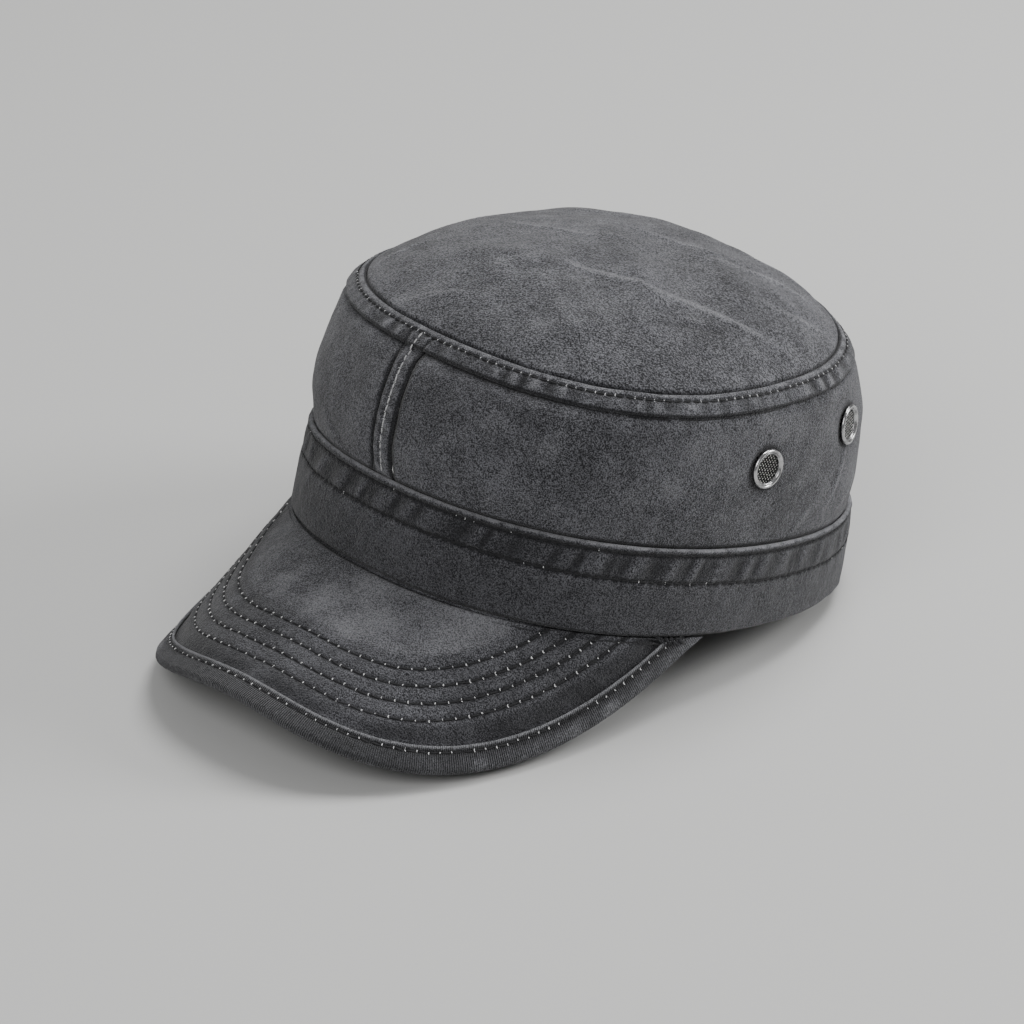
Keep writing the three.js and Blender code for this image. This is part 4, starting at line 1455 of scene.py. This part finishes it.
def add_wire(bm, wear_and_painted_light, sizes, offset, phase, matrix):
    """One wire of the mesh, at an offset from its middle, waving over and under those it crosses."""
    pitch = sizes.wire_pitch
    reach = np.sqrt(max((sizes.bore / 2 - MESH_ROOM) ** 2 - offset ** 2, 1e-8))
    steps = max(int(2 * reach / pitch * 4), 6)
    upright = Matrix.Rotation(np.pi / 2, 4, "Y")
    last = []
    for x in np.linspace(-reach, reach, steps + 1):
        crest = phase * np.cos(np.pi * x / pitch)
        spot = Matrix.Translation((x, offset, 0.6 * sizes.wire * crest + MESH_ROOM))
        ring = bmesh.ops.create_circle(bm, segments=WIRE_SIDES, radius=sizes.wire / 2,
                                       matrix=matrix @ spot @ upright)["verts"]
        for vert in ring:
            # The crest goes to the wire's finish, which paints a highlight on the crests and shade where the
            # wire passes under
            vert[wear_and_painted_light] = crest
        for corners in zip(last, last[1:] + last[:1], ring[1:] + ring[:1], ring):
            bm.faces.new(corners)
        if not last:
            bm.faces.new(ring)
        last = ring
    bm.faces.new(last)


def woven_mesh(sizes, matrix, name):
    """An eyelet's mesh: two sets of wires, each passing over and under the other."""
    half = int((sizes.bore / 2 - MESH_ROOM) / sizes.wire_pitch)
    bm = bmesh.new()
    wear_and_painted_light = bm.verts.layers.float.new("wear_and_painted_light")
    for direction in (0, 1):
        spin = Matrix.Rotation(direction * np.pi / 2 + MESH_TURN, 4, "Z")
        for number in range(-half, half + 1):
            phase = (-1) ** (number + direction)
            add_wire(bm, wear_and_painted_light, sizes, number * sizes.wire_pitch, phase, matrix @ spin)
    bmesh.ops.recalc_face_normals(bm, faces=bm.faces[:])
    return piece(name, bm)


class AddEyelets(bpy.types.Operator):
    """Add the steel vent eyelets and their woven mesh"""

    bl_idname = "cap.add_eyelets"
    bl_label = "Eyelets"

    def execute(self, context):
        cap = Cap(context.scene)
        steel = worn_steel(context.scene)
        wire = dark_wire(context.scene)
        for eyelet in EYELETS:
            matrix = facing(*eyelet_frame(cap, eyelet))
            ring = f"eyelet_ring_{eyelet.name}"
            dress(flanged_ring(cap.eyelets, matrix, ring), steel, "eyelet_steel", ring)
            disc = f"eyelet_mesh_{eyelet.name}"
            dress(woven_mesh(cap.eyelets, matrix, disc), wire, "eyelet_wire", disc)
        return {"FINISHED"}


class Finish:
    """A material's node tree, with short ways to add and join nodes."""

    def __init__(self, name, roughness, metallic=0.0):
        self.material = bpy.data.materials.new(name)
        self.material.use_nodes = True
        self.tree = self.material.node_tree
        self.shader = self.tree.nodes["Principled BSDF"]
        self.set({"Roughness": roughness, "Metallic": metallic})

    def set(self, values):
        """Constants on the shader's own sockets."""
        for name, value in values.items():
            self.shader.inputs[name].default_value = value

    def join(self, name, socket):
        """Link a node to one of the shader's sockets."""
        self.tree.links.new(socket, self.shader.inputs[name])

    def node(self, kind, inputs, output=0, **settings):
        """Add a node, with a link or a constant for each input, and give one of its outputs."""
        made = self.tree.nodes.new(kind)
        for key, value in settings.items():
            setattr(made, key, value)
        for key, value in inputs.items():
            if isinstance(value, bpy.types.NodeSocket):
                self.tree.links.new(value, made.inputs[key])
            else:
                made.inputs[key].default_value = value
        return made.outputs[output]

    def cloth(self):
        """The place on the cloth, in millimetres."""
        return self.node("ShaderNodeUVMap", {}, uv_map="cloth")

    def place(self):
        """The place on the cap, in metres."""
        return self.node("ShaderNodeTexCoord", {}, output="Object")

    def wear_and_painted_light(self):
        """How worn the place is and how much highlight and shade is painted on it, as its mesh says."""
        return self.node("ShaderNodeAttribute", {}, output="Fac", attribute_name="wear_and_painted_light")

    def turned(self, vector, degrees):
        """A place turned about Z."""
        return self.node("ShaderNodeMapping", {"Vector": vector, "Rotation": (0, 0, np.radians(degrees))})

    def noise(self, vector, scale, detail=2, rough=0.5, distort=0):
        """Noise from 0 to 1, mostly about 0.5."""
        return self.node("ShaderNodeTexNoise", {"Vector": vector, "Scale": scale, "Detail": detail,
                                                "Roughness": rough, "Distortion": distort})

    def bands(self, vector, period, distort=0, detail=0):
        """Waves across x, from 0 to 1, of a period in the vector's own unit."""
        return self.node("ShaderNodeTexWave", {"Vector": vector, "Scale": np.pi / 10 / period,
                                               "Distortion": distort, "Detail": detail, "Detail Scale": 1.5})

    def spread(self, value, low, high, to_low=0, to_high=1):
        """A value from low to high, moved to run from to_low to to_high and no further."""
        return self.node("ShaderNodeMapRange", {"Value": value, "From Min": low, "From Max": high,
                                                "To Min": to_low, "To Max": to_high})

    def math(self, operation, a, b):
        """One step of arithmetic on two values."""
        return self.node("ShaderNodeMath", {0: a, 1: b}, operation=operation)

    def blend(self, amount, a, b):
        """Colour a where the amount is 0, and colour b where it is 1."""
        colours = {key: value if isinstance(value, bpy.types.NodeSocket) else (*value, 1)
                   for key, value in ((6, a), (7, b))}
        return self.node("ShaderNodeMix", {0: amount, **colours}, output=2, data_type="RGBA")

    def bump(self, height, distance, below=None):
        """Normals for a height, over those of a coarser bump."""
        inputs = {"Height": height, "Distance": distance, "Strength": 1.0}
        if below is not None:
            inputs["Normal"] = below
        return self.node("ShaderNodeBump", inputs)


class Mottle(NamedTuple):
    """A layer of noise in the washed cloth: its scale for a metre, detail, roughness and distortion,
    the noise from low to high that counts, and what it adds to the fading, from dark to pale."""

    scale: float
    detail: float
    rough: float
    distort: float
    low: float
    high: float
    dark: float
    pale: float


CLOUDS = Mottle(26, 3, 0.55, 0, 0.35, 0.68, 0.3, 0.56)
PATCHES = Mottle(150, 3, 0.6, 0.6, 0.32, 0.68, -0.1, 0.1)
SPECKS = Mottle(800, 1, 0.6, 0, 0.32, 0.68, -0.12, 0.12)
GRAIN = Mottle(2200, 1, 0.6, 0, 0.34, 0.66, -0.6, 0.6)

# The grain's scale on the top
TOP_GRAIN = 1700


def shade(tone, share):
    """A colour made darker or paler."""
    return tuple(min(part * share, 1) for part in tone)


def loose_strands(finish, place):
    """Short pale hairs of cotton: 1 on them, where a patchy noise keeps them, and 0 elsewhere."""
    winding = finish.noise(place, 420, 1, 0.5, 2)
    from_line = finish.math("ABSOLUTE", finish.math("SUBTRACT", winding, 0.5), 0)
    kept = finish.spread(finish.noise(place, 340, 0), 0.52, 0.62, 0, 0.75)
    return finish.math("MULTIPLY", finish.spread(from_line, 0, 0.014, 1, 0), kept)


def woven(finish, scene, weave, share, height, fineness=GRAIN.scale):
    """Colour and bump of washed cloth: mottled, faded, worn and given painted highlights and shade by its
    attribute, with its own weave.
    share says how much of the weave shows as colour, height how deep it is, and fineness how many
    specks of grain a metre has."""
    colours = scene.cap_colours
    place = finish.place()
    wear_and_painted_light = finish.wear_and_painted_light()
    layers = (CLOUDS, PATCHES, SPECKS, GRAIN._replace(scale=fineness))
    noises = [finish.noise(place, layer.scale, layer.detail, layer.rough, layer.distort)
              for layer in layers]
    faded = finish.spread(weave, 0, 1, -share, share)
    for layer, noise in zip(layers, noises):
        faded = finish.math("ADD", faded, finish.spread(noise, layer.low, layer.high, layer.dark, layer.pale))
    _, patches, specks, grain = noises
    cloth = finish.blend(faded, colours.twill, colours.faded)
    haired = finish.blend(loose_strands(finish, place), cloth, colours.worn_and_painted_light)
    # Above 0 the attribute paints the cloth pale, as wear and a painted highlight; below 0 it darkens it
    # towards the recess colour, mostly as painted shade
    brightening = finish.math("MULTIPLY", wear_and_painted_light, finish.spread(grain, 0.35, 0.65, 0.45, 1.4))
    worn_and_painted_light = finish.blend(finish.spread(brightening, 0, 1, 0, 0.8), haired, colours.worn_and_painted_light)
    deep = finish.blend(faded, colours.recess_shade, shade(colours.faded, 0.14))
    finish.join("Base Color", finish.blend(finish.spread(wear_and_painted_light, 0, -1, 0, 0.92), worn_and_painted_light, deep))
    finish.set({"Sheen Weight": 0.2, "Sheen Roughness": 0.5, "Specular IOR Level": 0.2})
    coarse = finish.bump(specks, 0.0003, finish.bump(patches, 0.0008))
    finish.join("Normal", finish.bump(weave, height, finish.bump(grain, 0.0005, coarse)))


def washed_twill(scene, name, fineness=GRAIN.scale):
    """Twill: fine diagonal ribs broken up by the wash."""
    finish = Finish(name, 0.9)
    cloth = finish.cloth()
    ribs = finish.bands(finish.turned(cloth, 57), 0.85, 5, 2)
    yarns = finish.bands(finish.turned(cloth, -20), 0.6, 4, 2)
    crossed = finish.math("MULTIPLY", ribs, finish.spread(yarns, 0, 1, 0.4, 1))
    woven(finish, scene, crossed, 0.04, 0.00006, fineness)
    return finish.material


def ribbed_binding(scene):
    """The binding's cloth, with fine ribs square to the peak's edge."""
    finish = Finish("ribbed_binding", 0.88)
    ribs = finish.bands(finish.cloth(), 0.78, 0.8, 1)
    woven(finish, scene, ribs, 0.6, 0.0005)
    return finish.material


def thread_finish(name, tone):
    """Fuzzy cotton, for thread and lint."""
    finish = Finish(name, 0.75)
    fuzz = finish.noise(finish.place(), 2600, 2, 0.6)
    finish.join("Base Color", finish.blend(finish.spread(fuzz, 0.35, 0.7), tone, shade(tone, 2.2)))
    finish.join("Normal", finish.bump(fuzz, 0.0002))
    return finish.material


def worn_steel(scene):
    """Darkened steel, brighter where it is rubbed."""
    finish = Finish("worn_steel", 0.24, 1.0)
    brightening = finish.noise(finish.place(), 300, 3, 0.6)
    tone = scene.cap_colours.steel
    finish.join("Base Color", finish.blend(finish.spread(brightening, 0.35, 0.6), shade(tone, 0.5), tone))
    finish.join("Roughness", finish.spread(brightening, 0.3, 0.7, 0.32, 0.18))
    finish.join("Normal", finish.bump(brightening, 0.00005))
    return finish.material


def dark_wire(scene):
    """Wire with a painted highlight on its crests where it passes over and painted shade where it passes
    under, varied by grime.
    """
    finish = Finish("dark_wire", 0.3, 1.0)
    grime = finish.noise(finish.place(), 1500, 2, 0.5)
    # The crests' painted highlight, broken up by grime
    crest = finish.spread(finish.wear_and_painted_light(), 0.45, 0.95)
    bright = finish.math("MULTIPLY", crest, finish.spread(grime, 0.3, 0.5, 0.6, 1))
    tone = scene.cap_colours.wire
    finish.join("Base Color", finish.blend(bright, shade(tone, 0.04), tone))
    finish.join("Roughness", finish.spread(grime, 0.3, 0.7, 0.42, 0.22))
    return finish.material


def add_floor(scene):
    """A plain pale floor."""
    bm = bmesh.new()
    bmesh.ops.create_grid(bm, x_segments=1, y_segments=1, size=FLOOR_SIZE)
    mesh = bpy.data.meshes.new("floor")
    bm.to_mesh(mesh)
    bm.free()
    finish = Finish("pale_floor", 0.85)
    finish.set({"Base Color": (*scene.cap_colours.floor, 1)})
    mesh.materials.append(finish.material)
    floor = bpy.data.objects.new("floor", mesh)
    scene.collection.objects.link(floor)


def add_lamp(scene, lamp):
    """A soft round light that points at the cap."""
    light = bpy.data.lights.new(lamp.name, "AREA")
    light.shape = "DISK"
    light.size = lamp.width
    light.energy = lamp.power
    made = bpy.data.objects.new(lamp.name, light)
    made.location = lamp.place
    made.rotation_euler = (Vector(LAMP_TARGET) - made.location).to_track_quat("-Z", "Y").to_euler()
    scene.collection.objects.link(made)


def add_world(scene):
    """An even white surround."""
    world = bpy.data.worlds.new("studio")
    world.use_nodes = True
    background = world.node_tree.nodes["Background"]
    background.inputs["Color"].default_value = (1, 1, 1, 1)
    background.inputs["Strength"].default_value = WORLD_LIGHT
    scene.world = world


def add_camera(scene):
    """The camera at the photograph's viewing angle."""
    lens = bpy.data.cameras.new("camera")
    lens.sensor_width = SENSOR
    lens.lens = SENSOR * FOCAL_PIXELS / FRAME_PIXELS
    lens.clip_end = 20
    around = np.radians(CAMERA_AROUND)
    above = np.radians(CAMERA_ABOVE)
    away = Vector((np.sin(around) * np.cos(above), -np.cos(around) * np.cos(above), np.sin(above)))
    camera = bpy.data.objects.new("camera", lens)
    camera.location = Vector(CAMERA_AIM) + away * CAMERA_DISTANCE
    camera.rotation_euler = (-away).to_track_quat("-Z", "Y").to_euler()
    scene.collection.objects.link(camera)
    scene.camera = camera


class AddStage(bpy.types.Operator):
    """Add the plain floor, the soft studio light and the camera"""

    bl_idname = "cap.add_stage"
    bl_label = "Stage"

    def execute(self, context):
        add_floor(context.scene)
        for lamp in LAMPS:
            add_lamp(context.scene, lamp)
        add_world(context.scene)
        add_camera(context.scene)
        return {"FINISHED"}


OPERATORS = (AddTop, AddRing, AddPanels, AddSeams, AddBand, AddPeak, AddBinding, AddStitches,
             AddEyelets, AddStage)
GROUPS = (
    ("cap_crown", CrownSizes),
    ("cap_peak", PeakSizes),
    ("cap_stitches", StitchSizes),
    ("cap_eyelets", EyeletSizes),
    ("cap_colours", CapColours),
)


class CapPanel(bpy.types.Panel):
    """The cap's pieces, sizes and colours"""

    bl_idname = "VIEW3D_PT_cap"
    bl_label = "Patrol cap"
    bl_space_type = "VIEW_3D"
    bl_region_type = "UI"
    bl_category = "Cap"

    def draw(self, context):
        for operator in OPERATORS:
            self.layout.operator(operator.bl_idname)
        for name, group in GROUPS:
            box = self.layout.box()
            for field in group.__annotations__:
                box.prop(getattr(context.scene, name), field)


def register():
    """Make the groups, operators and panel known to Blender."""
    for name, group in GROUPS:
        bpy.utils.register_class(group)
        setattr(bpy.types.Scene, name, PointerProperty(type=group))
    for operator in OPERATORS:
        bpy.utils.register_class(operator)
    bpy.utils.register_class(CapPanel)


def unregister():
    """Take them out again, in the opposite order."""
    bpy.utils.unregister_class(CapPanel)
    for operator in reversed(OPERATORS):
        bpy.utils.unregister_class(operator)
    for name, group in reversed(GROUPS):
        delattr(bpy.types.Scene, name)
        bpy.utils.unregister_class(group)


def main():
    """Register the add-on and make every piece in order."""
    register()
    for operator in OPERATORS:
        category, name = operator.bl_idname.split(".")
        getattr(getattr(bpy.ops, category), name)()


if __name__ == "__main__":
    main()
